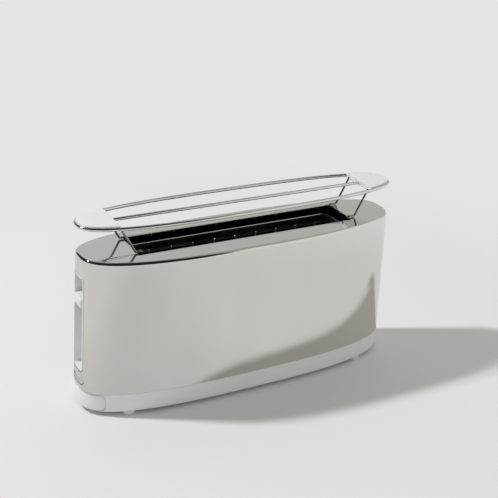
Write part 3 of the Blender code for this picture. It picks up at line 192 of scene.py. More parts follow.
def block(x, y, z, bm=None):
    # A block between two places on each axis, alone or added to a drawing.
    if bm is None:
        bm = bmesh.new()
    verts = bmesh.ops.create_cube(bm, size=1.0)["verts"]
    bmesh.ops.scale(bm, vec=(x[1] - x[0], y[1] - y[0], z[1] - z[0]), verts=verts)
    bmesh.ops.translate(bm, vec=((x[0] + x[1]) / 2, (y[0] + y[1]) / 2, (z[0] + z[1]) / 2), verts=verts)
    return bm


def about(middle, half):
    return middle - half, middle + half


def drum(bm, radius, low, high, centre=(0, 0), sides=32):
    verts = bmesh.ops.create_cone(bm, cap_ends=True, segments=sides, radius1=radius, radius2=radius,
                                  depth=high - low)["verts"]
    bmesh.ops.translate(bm, vec=(*centre, (low + high) / 2), verts=verts)
    return verts


def turned(bm, outline, centre, sides):
    # Spins an outline of (radius, height) round a vertical axis.
    verts = [bm.verts.new((centre[0] + r, centre[1], z)) for r, z in outline]
    edges = [bm.edges.new(pair) for pair in zip(verts, verts[1:])]
    bmesh.ops.spin(bm, geom=verts + edges, cent=(*centre, 0), axis=(0, 0, 1), angle=2 * math.pi, steps=sides,
                   use_merge=True, use_duplicate=False)


def softenEdges(bm, width, angle=40, steps=2):
    # Rounds every edge sharper than the angle.
    bm.normal_update()
    sharp = [e for e in bm.edges if len(e.link_faces) == 2 and e.calc_face_angle(0) > math.radians(angle)]
    roundOff(bm, sharp, width, steps, clamp=True)


def tidyMesh(bm):
    bmesh.ops.remove_doubles(bm, verts=bm.verts, dist=1e-6)
    bmesh.ops.recalc_face_normals(bm, faces=bm.faces)


def placed(name, bm):
    mesh = bpy.data.meshes.new(name)
    bm.to_mesh(mesh)
    bm.free()
    made = bpy.data.objects.new(name, mesh)
    bpy.context.scene.collection.objects.link(made)
    return made


def finishPiece(name, bm, finishes, rides, node, smoothTo=35):
    # Makes the piece, gives it its finishes, hangs it on the body it rides on and hides the solid it stands for.
    tidyMesh(bm)
    piece = placed(name, bm)
    for finish in finishes if isinstance(finishes, list) else [finishes]:
        piece.data.materials.append(finish)
    piece.data.shade_smooth()
    piece.data.set_sharp_from_angle(angle=math.radians(smoothTo))
    if rides:
        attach(piece, rides)
    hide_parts(node)
    return piece


def carved(bm, *tools):
    # Works on a closed shape with others: each tool is ("cut", "join" or "keep", shape).
    kinds = {"cut": "DIFFERENCE", "join": "UNION", "keep": "INTERSECT"}
    tidyMesh(bm)
    work = placed("work", bm)
    for kind, shape in tools:
        tidyMesh(shape)
        tool = placed("tool", shape)
        step = work.modifiers.new(kind, "BOOLEAN")
        step.operation, step.solver, step.object = kinds[kind], "MANIFOLD", tool
        depsgraph = bpy.context.evaluated_depsgraph_get()
        mesh = bpy.data.meshes.new_from_object(work.evaluated_get(depsgraph))
        work.modifiers.clear()
        work.data = mesh
        bpy.data.objects.remove(tool, do_unlink=True)
    result = bmesh.new()
    result.from_mesh(work.data)
    bpy.data.objects.remove(work, do_unlink=True)
    bmesh.ops.remove_doubles(result, verts=result.verts, dist=1e-7)
    return result


def tube(points, radius, sides, closed=False):
    # A round wire along points, with closed ends.
    curve = bpy.data.curves.new("wire", "CURVE")
    curve.dimensions = "3D"
    curve.bevel_depth = radius
    curve.bevel_resolution = sides // 2 - 2
    curve.use_fill_caps = not closed
    spline = curve.splines.new("POLY")
    spline.points.add(len(points) - 1)
    for splinePoint, point in zip(spline.points, points):
        splinePoint.co = (*point, 1)
    spline.use_cyclic_u = closed
    guide = bpy.data.objects.new("wire", curve)
    bpy.context.scene.collection.objects.link(guide)
    depsgraph = bpy.context.evaluated_depsgraph_get()
    bm = bmesh.new()
    bm.from_mesh(bpy.data.meshes.new_from_object(guide.evaluated_get(depsgraph)))
    bpy.data.objects.remove(guide, do_unlink=True)
    bmesh.ops.remove_doubles(bm, verts=bm.verts, dist=radius / 100)
    return bm


def bentPath(corners, radius, steps):
    # Straight runs whose inner corners are arcs of one radius.
    path = [corners[0]]
    for before, corner, after in zip(corners, corners[1:], corners[2:]):
        back, on = (before - corner).normalized(), (after - corner).normalized()
        half = back.angle(on) / 2
        centre = corner + (back + on).normalized() * radius / math.sin(half)
        first = corner + back * radius / math.tan(half) - centre
        last = corner + on * radius / math.tan(half) - centre
        turn = first.rotation_difference(last)
        for i in range(steps + 1):
            path.append(centre + Quaternion().slerp(turn, i / steps) @ first)
    path.append(corners[-1])
    return path


def refined(node, form, finish, rides, edge, choose=None):
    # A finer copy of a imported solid: merged, its flat faces made whole, its edges broken.
    bm = bmesh.new()
    bm.from_mesh(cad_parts[node].data)
    bmesh.ops.remove_doubles(bm, verts=bm.verts, dist=1e-6)
    bmesh.ops.dissolve_limit(bm, angle_limit=math.radians(0.5), verts=bm.verts, edges=bm.edges)
    if edge:
        softenEdges(bm, edge)
    if choose:
        for f in bm.faces:
            f.material_index = choose(f.calc_center_median())
    finishPiece(f"{node}_{form}", bm, finish, rides, node)


# Node helpers, each working in one node tree

def added(tree, kind, **settings):
    node = tree.nodes.new("ShaderNode" + kind)
    for name, value in settings.items():
        setattr(node, name, value)
    return node


def plug(tree, node, socket, value):
    # Gives a socket a link, a colour or a plain value.
    if isinstance(value, bpy.types.NodeSocket):
        tree.links.new(value, node.inputs[socket])
    else:
        node.inputs[socket].default_value = (*value, 1) if isinstance(value, tuple) else value


def worked(tree, operation, first, second):
    step = added(tree, "Math", operation=operation)
    plug(tree, step, 0, first)
    plug(tree, step, 1, second)
    return step.outputs[0]


def mixed(tree, share, first, second):
    step = added(tree, "Mix", data_type="RGBA")
    for socket, value in (("Factor", share), ("A", first), ("B", second)):
        plug(tree, step, socket, value)
    return step.outputs["Result"]


def spread(tree, source, low, high, fromLow=0.3, fromHigh=0.7, how="LINEAR"):
    # Maps a pattern or a place to a range of values.
    step = added(tree, "MapRange", interpolation_type=how)
    for socket, value in (("From Min", fromLow), ("From Max", fromHigh), ("To Min", low), ("To Max", high),
                          ("Value", source)):
        plug(tree, step, socket, value)
    return step.outputs["Result"]


def eased(tree, source, low, high):
    # From 0 to 1 between two values, with soft ends.
    return spread(tree, source, 0, 1, low, high, "SMOOTHSTEP")


def toned(tree, source, dark, light, low=0.35, high=0.65):
    # Colours a pattern between two tones.
    ramp = added(tree, "ValToRGB")
    first, last = ramp.color_ramp.elements
    first.position, first.color = low, (*dark, 1)
    last.position, last.color = high, (*light, 1)
    plug(tree, ramp, "Fac", source)
    return ramp.outputs["Color"]


# Finishes: the base colour, roughness and bump of each follow patterns fixed to the object

def newFinish(name, colour, roughness, metallic=0.0):
    finish = bpy.data.materials.new(name)
    finish.use_nodes = True
    for socket, value in (("Base Color", colour), ("Roughness", roughness), ("Metallic", metallic)):
        dress(finish, socket, value)
    return finish


def dress(finish, socket, value):
    plug(finish.node_tree, finish.node_tree.nodes["Principled BSDF"], socket, value)


def pattern(finish, scale, stretch=(1, 1, 1), detail=2, kind="Noise", output="Fac"):
    tree = finish.node_tree
    turn = added(tree, "Mapping")
    turn.inputs["Scale"].default_value = stretch
    texture = added(tree, "Tex" + kind)
    plug(tree, texture, "Scale", scale)
    plug(tree, texture, "Detail", detail)
    plug(tree, turn, "Vector", added(tree, "TexCoord").outputs["Object"])
    plug(tree, texture, "Vector", turn.outputs["Vector"])
    return texture.outputs[output]


def tint(finish, source, dark, light, low=0.35, high=0.65):
    dress(finish, "Base Color", toned(finish.node_tree, source, dark, light, low, high))


def gloss(finish, source, low, high, fromLow=0.3, fromHigh=0.7):
    dress(finish, "Roughness", spread(finish.node_tree, source, low, high, fromLow, fromHigh))


def emboss(finish, source, distance, strength):
    bump = added(finish.node_tree, "Bump")
    for socket, value in (("Distance", distance), ("Strength", strength), ("Height", source)):
        plug(finish.node_tree, bump, socket, value)
    dress(finish, "Normal", bump.outputs["Normal"])


def polishedSteel():
    # Mirror-polished sheet: rolled waves that bend what it mirrors, and faint upright polishing marks.
    finish = newFinish("mirror_steel", (0.71, 0.695, 0.665), 0.04, 1.0)
    tint(finish, pattern(finish, 9, (1, 1, 0.25), 4), dark=(0.695, 0.68, 0.65), light=(0.735, 0.72, 0.69))
    gloss(finish, pattern(finish, 260, (1, 1, 0.03)), low=0.03, high=0.075)
    emboss(finish, pattern(finish, 11, (1, 1, 0.45), 1), distance=0.001, strength=0.06)
    return finish


def wireSteel():
    # Bright drawn wire, with fine marks along it.
    finish = newFinish("rack_wire", (0.70, 0.695, 0.68), 0.15, 1.0)
    gloss(finish, pattern(finish, 900, (0.08, 1, 1)), low=0.10, high=0.22)
    tint(finish, pattern(finish, 60, (0.3, 1, 1), 3), dark=(0.67, 0.665, 0.65), light=(0.74, 0.735, 0.72))
    return finish


def legSteelPaintedDark():
    # The legs' thinner wire, painted darker than the rack's rim to stand in for the dark reflections it shows.
    finish = newFinish("leg_wire_painted_dark", (0.25, 0.247, 0.24), 0.12, 1.0)
    gloss(finish, pattern(finish, 900, (1, 1, 0.08)), low=0.08, high=0.18)
    return finish


def satinSteel():
    # Stamped inner sheet: rolled grain, slightly uneven in tone.
    finish = newFinish("rolled_steel", (0.55, 0.55, 0.54), 0.32, 1.0)
    tint(finish, pattern(finish, 30, (0.4, 1, 1), 5), dark=(0.46, 0.46, 0.45), light=(0.62, 0.62, 0.61))
    grain = pattern(finish, 700, (0.05, 1, 1), 3)
    gloss(finish, grain, low=0.24, high=0.42)
    emboss(finish, grain, distance=0.0002, strength=0.15)
    return finish


def slotShadeSteel():
    # The oven's sheet, painted almost black as the shade deep in the slot, with a brownish bloom.
    finish = newFinish("oven_steel_painted_shade", (0.02, 0.02, 0.02), 0.5, 0.6)
    bloom = pattern(finish, 45, detail=5)
    tint(finish, bloom, dark=(0.010, 0.010, 0.010), light=(0.035, 0.03, 0.026))
    gloss(finish, bloom, low=0.35, high=0.6)
    return finish


def whitePlastic():
    # Moulded white: a touch cool, with a barely seen flow in its tone and a fine spark-eroded skin.
    finish = newFinish("moulded_white", (0.82, 0.825, 0.825), 0.36)
    tint(finish, pattern(finish, 14, (1, 1, 2.5), 3), dark=(0.80, 0.805, 0.808), light=(0.84, 0.843, 0.84))
    skin = pattern(finish, 2600)
    emboss(finish, skin, distance=0.00002, strength=0.35)
    gloss(finish, skin, low=0.3, high=0.42)
    return finish


def greyButtonPocketShadeFinish():
    # Grey of the browning control's button, and painted shade on the white moulding's walls deep in its pocket.
    finish = newFinish("grey_button_pocket_shade", (0.60, 0.60, 0.60), 0.42)
    tint(finish, pattern(finish, 40, (1, 1, 2.5), 3), dark=(0.58, 0.58, 0.585), light=(0.62, 0.62, 0.62))
    return finish


def footRubber():
    finish = newFinish("foot_rubber", (0.72, 0.72, 0.71), 0.6)
    mottle = pattern(finish, 400, detail=4)
    tint(finish, mottle, dark=(0.68, 0.68, 0.67), light=(0.76, 0.76, 0.75))
    emboss(finish, mottle, distance=0.00005, strength=0.3)
    return finish


def micaSheet():
    # Pressed mica: tan flakes with silvery patches.
    finish = newFinish("mica_flakes", (0.36, 0.29, 0.2), 0.45)
    flakes = pattern(finish, 160, kind="Voronoi", output="Color")
    tint(finish, flakes, dark=(0.25, 0.19, 0.13), light=(0.47, 0.4, 0.3), low=0.1, high=0.9)
    gloss(finish, flakes.node.outputs["Distance"], low=0.3, high=0.6, fromLow=0.0, fromHigh=0.6)
    return finish


def heaterRibbon():
    finish = newFinish("heater_ribbon", (0.2, 0.18, 0.17), 0.4, 0.9)
    tint(finish, pattern(finish, 500, (1, 1, 0.2), 3), dark=(0.13, 0.11, 0.10), light=(0.3, 0.28, 0.27))
    return finish


def boardGreen():
    finish = newFinish("printed_board", (0.03, 0.16, 0.07), 0.4)
    tracks = pattern(finish, 180, (1, 1, 0.35), kind="Voronoi", output="Distance")
    tint(finish, tracks, dark=(0.05, 0.24, 0.1), light=(0.02, 0.12, 0.05), low=0.25, high=0.3)
    return finish


def blackPlastic():
    finish = newFinish("moulded_black", (0.025, 0.025, 0.026), 0.45)
    skin = pattern(finish, 1500)
    tint(finish, skin, dark=(0.02, 0.02, 0.021), light=(0.032, 0.032, 0.033))
    emboss(finish, skin, distance=0.00003, strength=0.4)
    return finish


def copperCoil():
    finish = newFinish("wound_copper", (0.6, 0.26, 0.12), 0.3, 1.0)
    turns = pattern(finish, 420, (0, 0, 1), 0, "Wave", "Color")
    turns.node.bands_direction = "Z"
    tint(finish, turns, dark=(0.36, 0.14, 0.06), light=(0.68, 0.32, 0.16), low=0.2, high=0.8)
    emboss(finish, turns, distance=0.0001, strength=0.5)
    return finish


# dark is the oven's sheet, painted almost black for the slot's shade
steel, wire, legWirePaintedDark, satin, dark = polishedSteel(), wireSteel(), legSteelPaintedDark(), satinSteel(), slotShadeSteel()
white, greyButtonPocketShade, rubber, mica, ribbon = whitePlastic(), greyButtonPocketShadeFinish(), footRubber(), micaSheet(), heaterRibbon()
green, black, copper = boardGreen(), blackPlastic(), copperCoil()
print("finishes ready:", len(bpy.data.materials))


# The lever's recess and the small recess below it, which go through sleeve and panel
recess = {"width": 0.0276, "low": 0.0464, "high": 0.1575, "corner": 0.0062, "floor": -0.174, "gap": 0.0012,
          "rim": 0.0014, "floorEdge": 0.0025}
pill = {"width": 0.030, "height": 0.0098, "z": 0.0367, "floor": -0.180, "gap": 0.0015, "rim": 0.0003,
        "floorEdge": 0.001}


def recessSlab(shrink, start, end, ends=0.0):
    height = recess["high"] - recess["low"]
    place = alongX(0, (recess["high"] + recess["low"]) / 2)
    return roundedSlab(recess["width"] - 2 * shrink, height - 2 * shrink, recess["corner"] - shrink, start, end,
                       place, 12, ends)


def pillSlab(shrink, start, end, ends=0.0):
    height = pill["height"] - 2 * shrink
    return roundedSlab(pill["width"] - 2 * shrink, height, height * 0.4999, start, end, alongX(0, pill["z"]), 14,
                       ends)


# The sleeve
sleeve = {"wall": 0.001, "edge": 0.00015, "bendSteps": 5}


def makeSleeve():
    low, high, wall, edge = body["sleeveLow"], body["rim"], sleeve["wall"], sleeve["edge"]
    sizes = [bodySize(low, edge), bodySize(low + edge, 0)]
    start, steps = body["plate"] - body["bend"], sleeve["bendSteps"]
    for i in range(steps + 1):
        z = start + (high - start) * i / steps
        sizes.append(bodySize(z, bendInset(z)))
    sizes += [bodySize(high, wall), bodySize(low, wall), bodySize(low, edge)]
    bm = bmesh.new()
    ovalStack(bm, sizes)
    leanTop(bm)
    cuts = [("cut", slab(0, endCut["out"], endCut["in"])) for slab in (recessSlab, pillSlab)]
    finishPiece("body_sleeve_shell", carved(bm, *cuts), steel, "housing", "body_sleeve", 30)


# The top: a rolled rim that sits in the sleeve, and the slot's lip, turned down
cover = {"sheet": 0.001, "inside": 0.0029, "skirt": 0.004, "skirtIn": 0.0023, "skirtOut": 0.0013, "seat": 0.00005,
         "edge": 0.0001, "bendSteps": 14, "flat": 0.0006, "creaseHalf": 0.0009}
lip = {"long": 0.258, "wide": 0.048, "corner": 0.003, "round": 0.0008, "steps": 6, "flat": 0.0008, "deep": 0.0034,
       "hemDeep": 0.0035, "hem": 0.0003, "sheet": 0.001}


def makeCover():
    plate, rim, bend = body["plate"], body["rim"], body["bend"]
    skirtLow, seat = rim - cover["skirt"], rim + cover["seat"]
    sizes = [bodySize(plate - cover["sheet"], cover["inside"]), bodySize(skirtLow, cover["skirtIn"]),
             bodySize(skirtLow, cover["skirtOut"]), bodySize(seat, cover["skirtOut"]),
             bodySize(seat, bendInset(rim) + cover["edge"])]
    first = math.asin((seat - plate + bend) / bend)
    for i in range(cover["bendSteps"] + 1):
        turn = first + (math.pi / 2 - first) * i / cover["bendSteps"]
        sizes.append(bodySize(plate - bend + bend * math.sin(turn), bend * (1 - math.cos(turn))))
    halfX, halfY = sizes[-1][:2]
    sizes.append((halfX - cover["flat"], halfY - cover["flat"], plate))
    bm = bmesh.new()
    under, top = ovalStack(bm, sizes)
    rows = [rowOut(lip, lip["round"] + lip["flat"], plate)]
    for s, c in reversed(quarterTurn(lip["steps"])):
        rows.append(rowOut(lip, lip["round"] * (1 - c), plate - lip["round"] * (1 - s)))
    for out, down in ((0, lip["deep"]), (lip["hem"], lip["hemDeep"]), (lip["sheet"], lip["hemDeep"]),
                      (lip["sheet"], cover["sheet"])):
        rows.append(rowOut(lip, out, plate - down))
    lipTop, lipUnder = roundedStack(bm, rows)
    for outer, inner in ((top, lipTop), (under, lipUnder)):
        bmesh.ops.triangle_fill(bm, edges=outer + inner, use_beauty=True, use_dissolve=False)
    for side in (-1, 1):
        for width in (-cover["creaseHalf"], 0.0, cover["creaseHalf"]):
            bmesh.ops.bisect_plane(bm, geom=bm.verts[:] + bm.edges[:] + bm.faces[:], dist=1e-7,
                                   plane_co=(0, side * (lean["crease"] + width), 0), plane_no=(0, 1, 0))
    leanTop(bm)
    finishPiece("top_plate_cover", bm, steel, "housing", "top_plate", 35)


makeSleeve()
makeCover()
print("sleeve and top cover made")


# The base with its spigot, tray channel, crumb opening and vents, and the tray's front let into its left end
base = {"round": 0.0015, "edge": 0.0002, "step": 0.0013, "spigotUp": 0.0023, "spigotEdge": 0.0003,
        "spigotIn": 0.0026, "deck": 0.0205, "behindFront": 0.0033, "behindTop": 0.03, "under": -0.001,
        "channel": ((-0.1866, 0.130), (-0.030, 0.030), (0.0070, 0.0180)),
        "crumbOpening": ((-0.129, 0.129), (-0.029, 0.029), (0.0125, 0.0225))}
vents = {"count": 8, "pitch": 0.020, "y": 0.0405, "halfLong": 0.006, "halfWide": 0.002, "top": 0.0225}
feet = {"x": 0.144, "y": 0.0328, "radius": 0.0075, "edge": 0.0009, "top": 0.0057, "hollow": 0.0055,
        "hollowEdge": 0.0058, "hollowUp": 0.0003, "socket": 0.0078, "socketTop": 0.006}
screws = {"x": 0.122, "y": 0.035, "head": 0.003, "low": 0.0065, "edge": 0.0008, "headTop": 0.0085,
          "shank": 0.0015, "tip": 0.0233, "crown": 0.0016, "crownTop": 0.0067, "cross": (0.0006, 0.0032),
          "crossLow": 0.005, "crossTop": 0.0078, "socket": 0.0033, "socketTop": 0.0088, "hole": 0.0018,
          "holeLow": 0.008, "holeTop": 0.022}
gland = {"x": 0.060, "z": 0.01585, "hole": 0.0045, "through": (-0.053, -0.030), "outline": (
    (0.003, -0.0438), (0.0042, -0.0438), (0.0042, -0.0503), (0.0068, -0.0503), (0.007, -0.0506),
    (0.0064, -0.0513), (0.0034, -0.0515), (0.003, -0.0511), (0.003, -0.0438))}  # radius and place along Y
trayFront = {"width": 0.062, "height": 0.0182, "z": 0.0156, "corner": 0.004, "gap": 0.00075, "thick": 0.003,
             "edge": 0.0003}


def footRows():
    # The base's rounded lower edge.
    low, edge = body["baseLow"], base["round"]
    return [baseSize(low + edge * (1 - c), edge * (1 - s)) for s, c in quarterTurn(8)]


def trayFrontSlab(grow, steps):
    return roundedSlab(trayFront["width"] + 2 * grow, trayFront["height"] + 2 * grow, trayFront["corner"] + grow,
                       endCut["skin"], endCut["deep"], alongX(0, trayFront["z"]), steps)


def makeBase():
    seam, step, inner = body["seam"], base["step"], base["spigotIn"]
    spigot = body["sleeveLow"] + base["spigotUp"]
    sizes = footRows() + [
        baseSize(seam - base["edge"], 0), baseSize(seam, base["edge"]), bodySize(seam, step),
        bodySize(spigot - base["spigotEdge"], step), bodySize(spigot, step + base["spigotEdge"]),
        bodySize(spigot, inner), (*bodySize(spigot, inner)[:2], base["deck"])]
    behind = ovalSolid([baseSize(z, base["behindFront"]) for z in (0, base["behindTop"])])
    front = carved(trayFrontSlab(trayFront["gap"], 10), ("cut", behind))
    under, small = base["under"], bmesh.new()
    for sx in (-1, 1):
        for sy in (-1, 1):
            foot, screw = (sx * feet["x"], sy * feet["y"]), (sx * screws["x"], sy * screws["y"])
            drum(small, feet["socket"], under, feet["socketTop"], foot, 48)
            drum(small, screws["socket"], under, screws["socketTop"], screw, 32)
            drum(small, screws["hole"], screws["holeLow"], screws["holeTop"], screw, 24)
    for sy in (-1, 1):
        y = about(sy * vents["y"], vents["halfWide"])
        for i in range(vents["count"]):
            x = (i - (vents["count"] - 1) / 2) * vents["pitch"]
            block(about(x, vents["halfLong"]), y, (0.0, vents["top"]), small)
    cordHole = bmesh.new()
    drum(cordHole, gland["hole"], *gland["through"])
    bmesh.ops.transform(cordHole, matrix=alongY(gland["x"], gland["z"]), verts=cordHole.verts)
    tools = (block(*base["channel"]), block(*base["crumbOpening"]), front, small, cordHole)
    moulding = carved(ovalSolid(sizes), *(("cut", tool) for tool in tools))
    finishPiece("base_moulding", moulding, white, "housing", "base", 30)


def makeTrayFront():
    low, seam, thick = body["baseLow"], body["seam"], trayFront["thick"]
    sizes = footRows() + [baseSize(seam, 0), baseSize(seam, thick), baseSize(low, thick)]
    bm = bmesh.new()
    ovalStack(bm, sizes + sizes[:1])
    front = carved(bm, ("keep", trayFrontSlab(0, 12)))
    softenEdges(front, trayFront["edge"], 50, 3)
    finishPiece("tray_front_face", front, white, "tray", "tray_front", 30)


# The control panel: a moulding behind the sleeve whose two rims come up flush with it
panel = {"low": 0.0296, "high": 0.1636, "halfWidth": 0.019, "behind": 0.0013, "setBack": 0.0002,
         "back": -0.172, "beyond": 0.001, "rimLow": 0.027, "pocketShadeFrom": -0.1855,
         "leverSlit": ((-0.176, -0.170), (-0.0025, 0.0025), (0.0535, 0.1455)),
         "stemSlit": ((-0.182, -0.170), (-0.0105, 0.0105), about(pill["z"], 0.0015))}
groove = {"low": 0.02, "high": 0.17, "out": -0.002, "deep": 0.0034, "over": -0.0002, "end": -0.17}


def rimGroove(slab, gap):
    # The dark outline round one of the panel's rims: a slot that follows the body's curve.
    sizes = [bodySize(groove["low"], groove["out"]), bodySize(groove["high"], groove["out"]),
             bodySize(groove["high"], groove["deep"]), bodySize(groove["low"], groove["deep"])]
    bm = bmesh.new()
    ovalStack(bm, sizes + sizes[:1])
    return carved(bm, ("keep", slab(groove["over"], endCut["out"], groove["end"])),
                  ("cut", slab(gap, endCut["far"], endCut["in"])))


def makePanel():
    low, high, behind, setBack = panel["low"], panel["high"], panel["behind"], panel["setBack"]
    keepBlock = block((endCut["skin"], panel["back"]), about(0, panel["halfWidth"]),
                      (low - panel["beyond"], high + panel["beyond"]))
    moulding = carved(ovalSolid([bodySize(low, behind), bodySize(high, behind)]), ("keep", keepBlock))
    rims, grooves, floors = [], [], []
    for hole, slab in ((recess, recessSlab), (pill, pillSlab)):
        skin = ovalSolid([bodySize(panel["rimLow"], setBack), bodySize(high, setBack)])
        rims.append(("join", carved(skin, ("keep", slab(hole["gap"], endCut["skin"], hole["floor"])))))
        grooves.append(("cut", rimGroove(slab, hole["gap"])))
        floors.append(("cut", slab(hole["gap"] + hole["rim"], endCut["skin"], hole["floor"], hole["floorEdge"])))
    moulding = carved(moulding, *rims, *grooves, *floors, ("cut", block(*panel["leverSlit"])),
                      ("cut", block(*panel["stemSlit"])))
    tidyMesh(moulding)
    # Faces deep in the small pocket get the second finish: painted shade on the white moulding.
    wide, tall = (pill[size] / 2 - (pill["gap"] + pill["rim"] - near) for size in ("width", "height"))
    for f in moulding.faces:
        centre = f.calc_center_median()
        inside = abs(centre.z - pill["z"]) < tall and abs(centre.y) < wide
        f.material_index = 1 if inside and max(v.co.x for v in f.verts) > panel["pocketShadeFrom"] else 0
    finishPiece("control_panel_moulding", moulding, [white, greyButtonPocketShade], "housing", "control_panel", 30)


knob = {"front": -0.18807, "back": -0.176, "low": 0.122, "high": 0.1328, "half": 0.0106, "round": 0.0021}
slider = {"width": 0.009, "height": 0.0056, "corner": 0.0027, "back": -0.1803, "front": -0.1852, "y": -0.008,
          "round": 0.0008, "stem": (-0.1815, -0.1687), "stemHalf": (0.0015, 0.0012)}


def makeKnob():
    bm = block((knob["front"], knob["back"]), about(0, knob["half"]), (knob["low"], knob["high"]))
    softenEdges(bm, knob["round"], 40, 6)
    finishPiece("lever_knob_cap", bm, white, "carriage", "lever_knob", 40)


def makeSlider():
    y, z, (halfY, halfZ) = slider["y"], pill["z"], slider["stemHalf"]
    bm = roundedSlab(slider["width"], slider["height"], slider["corner"], slider["back"], slider["front"],
                     alongX(y, z), 8, slider["round"])
    block(slider["stem"], about(y, halfY), about(z, halfZ), bm)
    finishPiece("browning_slider_button", bm, greyButtonPocketShade, "slider", "browning_slider", 40)


makeBase()
makeTrayFront()
makePanel()
makeKnob()
makeSlider()
print("base, tray front and controls made")


# The slot's frame and the bread guards
slotFrame = {"long": 0.250, "wide": 0.047, "corner": 0.006, "low": 0.1623, "top": 0.1686, "wall": 0.0018,
             "round": 0.0009, "flange": 0.0072, "sheet": 0.001}
guards = {"count": 9, "firstX": -0.1035, "pitch": 0.207 / 8, "wire": 0.001, "wireY": 0.0115, "low": 0.046,
          "high": 0.1659, "rail": 0.0012, "railY": 0.0131, "railHalf": 0.1326, "railsAt": (0.10, 0.80)}


def makeSlotFrame():
    low, wall, edge = slotFrame["low"], slotFrame["wall"], slotFrame["round"]
    bend, sheet, reach = slotFrame["top"] - edge, low + slotFrame["sheet"], wall + slotFrame["flange"]
    rows = [rowOut(slotFrame, 0, low), rowOut(slotFrame, 0, bend)]
    for i in range(1, 9):
        turn = math.pi * i / 8
        rows.append(rowOut(slotFrame, wall / 2 * (1 - math.cos(turn)), bend + edge * math.sin(turn)))
    rows.append(rowOut(slotFrame, wall, sheet))
    rows += [rowOut(slotFrame, reach, z, slotFrame["corner"]) for z in (sheet, low)]
    bm = bmesh.new()
    first, last = roundedStack(bm, rows)
    bmesh.ops.bridge_loops(bm, edges=first + last)
    tidyMesh(bm)
    # Below its rounded top the frame takes the oven's sheet, painted almost black for the slot's shade.
    for f in bm.faces:
        f.material_index = 0 if f.calc_center_median().z > bend - near else 1
    finishPiece("slot_frame_rim", bm, [wire, dark], "housing", "slot_frame", 35)


def makeGuards():
    radius, low, high = guards["wire"], guards["low"], guards["high"]
    profile = [(0, low)] + [(radius * s, low + radius * (1 - c)) for s, c in quarterTurn(4)]
    profile += [(radius * c, high - radius + radius * s) for s, c in quarterTurn(4)]
    for side, sy in (("front", -1), ("back", 1)):
        bm = bmesh.new()
        for share in guards["railsAt"]:
            verts = drum(bm, guards["rail"], -guards["railHalf"], guards["railHalf"], (0, 0), 16)
            bmesh.ops.rotate(bm, cent=(0, 0, 0), matrix=Matrix.Rotation(math.pi / 2, 3, "Y"), verts=verts)
            bmesh.ops.translate(bm, vec=(0, sy * guards["railY"], low + share * (high - low)), verts=verts)
        for i in range(guards["count"]):
            turned(bm, profile, (guards["firstX"] + i * guards["pitch"], sy * guards["wireY"]), 14)
        finishPiece(f"bread_guard_{side}_wires", bm, wire, "housing", f"bread_guard_{side}", 60)


makeSlotFrame()
makeGuards()


# The oven, carriage and electronics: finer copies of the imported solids, with the width of their broken edges
heaters = {"y": 0.019, "halfThick": 0.00055, "ribbonHalf": 0.1305}
circuit = {"boardFrom": -0.1378, "relayAbove": 0.075}


def ribbonOrBoard(centre):
    out = abs(abs(centre.y) - heaters["y"]) > heaters["halfThick"]
    return 1 if out and abs(centre.x) < heaters["ribbonHalf"] else 0


def boardParts(centre):
    if centre.x > circuit["boardFrom"]:
        return 0
    return 1 if centre.z > circuit["relayAbove"] else 2


# Reflectors and end plates take the oven's sheet, painted almost black for the slot's shade.
for side in ("front", "back"):
    refined(f"heater_board_{side}", "mica", [mica, ribbon], "housing", 0, ribbonOrBoard)
    refined(f"reflector_{side}", "sheet", dark, "housing", 0.0002)
for side in ("left", "right"):
    refined(f"end_plate_{side}", "sheet", dark, "housing", 0.0002)
refined("bread_carrier", "fingers", satin, "carriage", 0.0002)
refined("carriage", "bracket", satin, "carriage", 0.0002)
refined("latch_armature", "plate", satin, "carriage", 0.0003)
refined("carrier_runner", "block", black, "carriage", 0.0003)
refined("holding_magnet", "coil", copper, "housing", 0.0003)
refined("slider_pot", "case", black, "housing", 0.0003)
refined("crumb_tray", "pan", satin, "tray", 0.0002)
refined("circuit_board", "parts", [green, black, satin], "housing", 0.0002, boardParts)

rods = {"left": {"radius": 0.003, "at": (-0.1444, 0.011)}, "right": {"radius": 0.0025, "at": (0.1465, 0)},
        "low": 0.0208, "high": 0.1577, "edge": 0.0004}
spring = {"at": (-0.1565, 0.008), "radius": 0.0034, "wire": 0.00045, "low": 0.1243, "high": 0.1577, "turns": 10,
          "turnSteps": 24, "held": 0.0006}


def makeRods():
    low, high, edge = rods["low"], rods["high"], rods["edge"]
    for end in ("left", "right"):
        radius = rods[end]["radius"]
        bm = bmesh.new()
        turned(bm, [(0, low), (radius - edge, low), (radius, low + edge), (radius, high - edge),
                    (radius - edge, high), (0, high)], rods[end]["at"], 32)
        finishPiece(f"guide_rod_{end}_pin", bm, satin, "housing", f"guide_rod_{end}", 40)


def makeSpring():
    # The coil, wound from its lower end up to its upper end; it hangs on no body.
    (x, y), radius, low, high, held = (spring[key] for key in ("at", "radius", "low", "high", "held"))
    lead, steps = 2 * spring["wire"], spring["turnSteps"] * spring["turns"]
    points = [Vector((x + radius, y, low))]
    for i in range(steps + 1):
        turn = 2 * math.pi * i / spring["turnSteps"]
        points.append(Vector((x + radius * math.cos(turn), y + radius * math.sin(turn),
                              low + lead + (high - low - 2 * lead) * i / steps)))
    points.append(Vector((x + radius, y, high)))
    coil = finishPiece("return_spring_coil", tube(points, spring["wire"], 10), wire, None, "return_spring",
                       60)
    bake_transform(coil)


makeRods()
makeSpring()
print("oven, carriage and electronics made")


# Feet, screws and gland

def makeFoot(place, sx, sy):
    radius, edge, top = feet["radius"], feet["edge"], feet["top"]
    outline = [(0, feet["hollowUp"]), (feet["hollow"], feet["hollowUp"]), (feet["hollowEdge"], 0)]
    outline += [(radius - edge + edge * s, edge * (1 - c)) for s, c in quarterTurn(4)] + [(radius, top), (0, top)]
    bm = bmesh.new()
    turned(bm, outline, (sx * feet["x"], sy * feet["y"]), 48)
    finishPiece(f"foot_{place}_pad", bm, rubber, "housing", f"foot_{place}", 50)


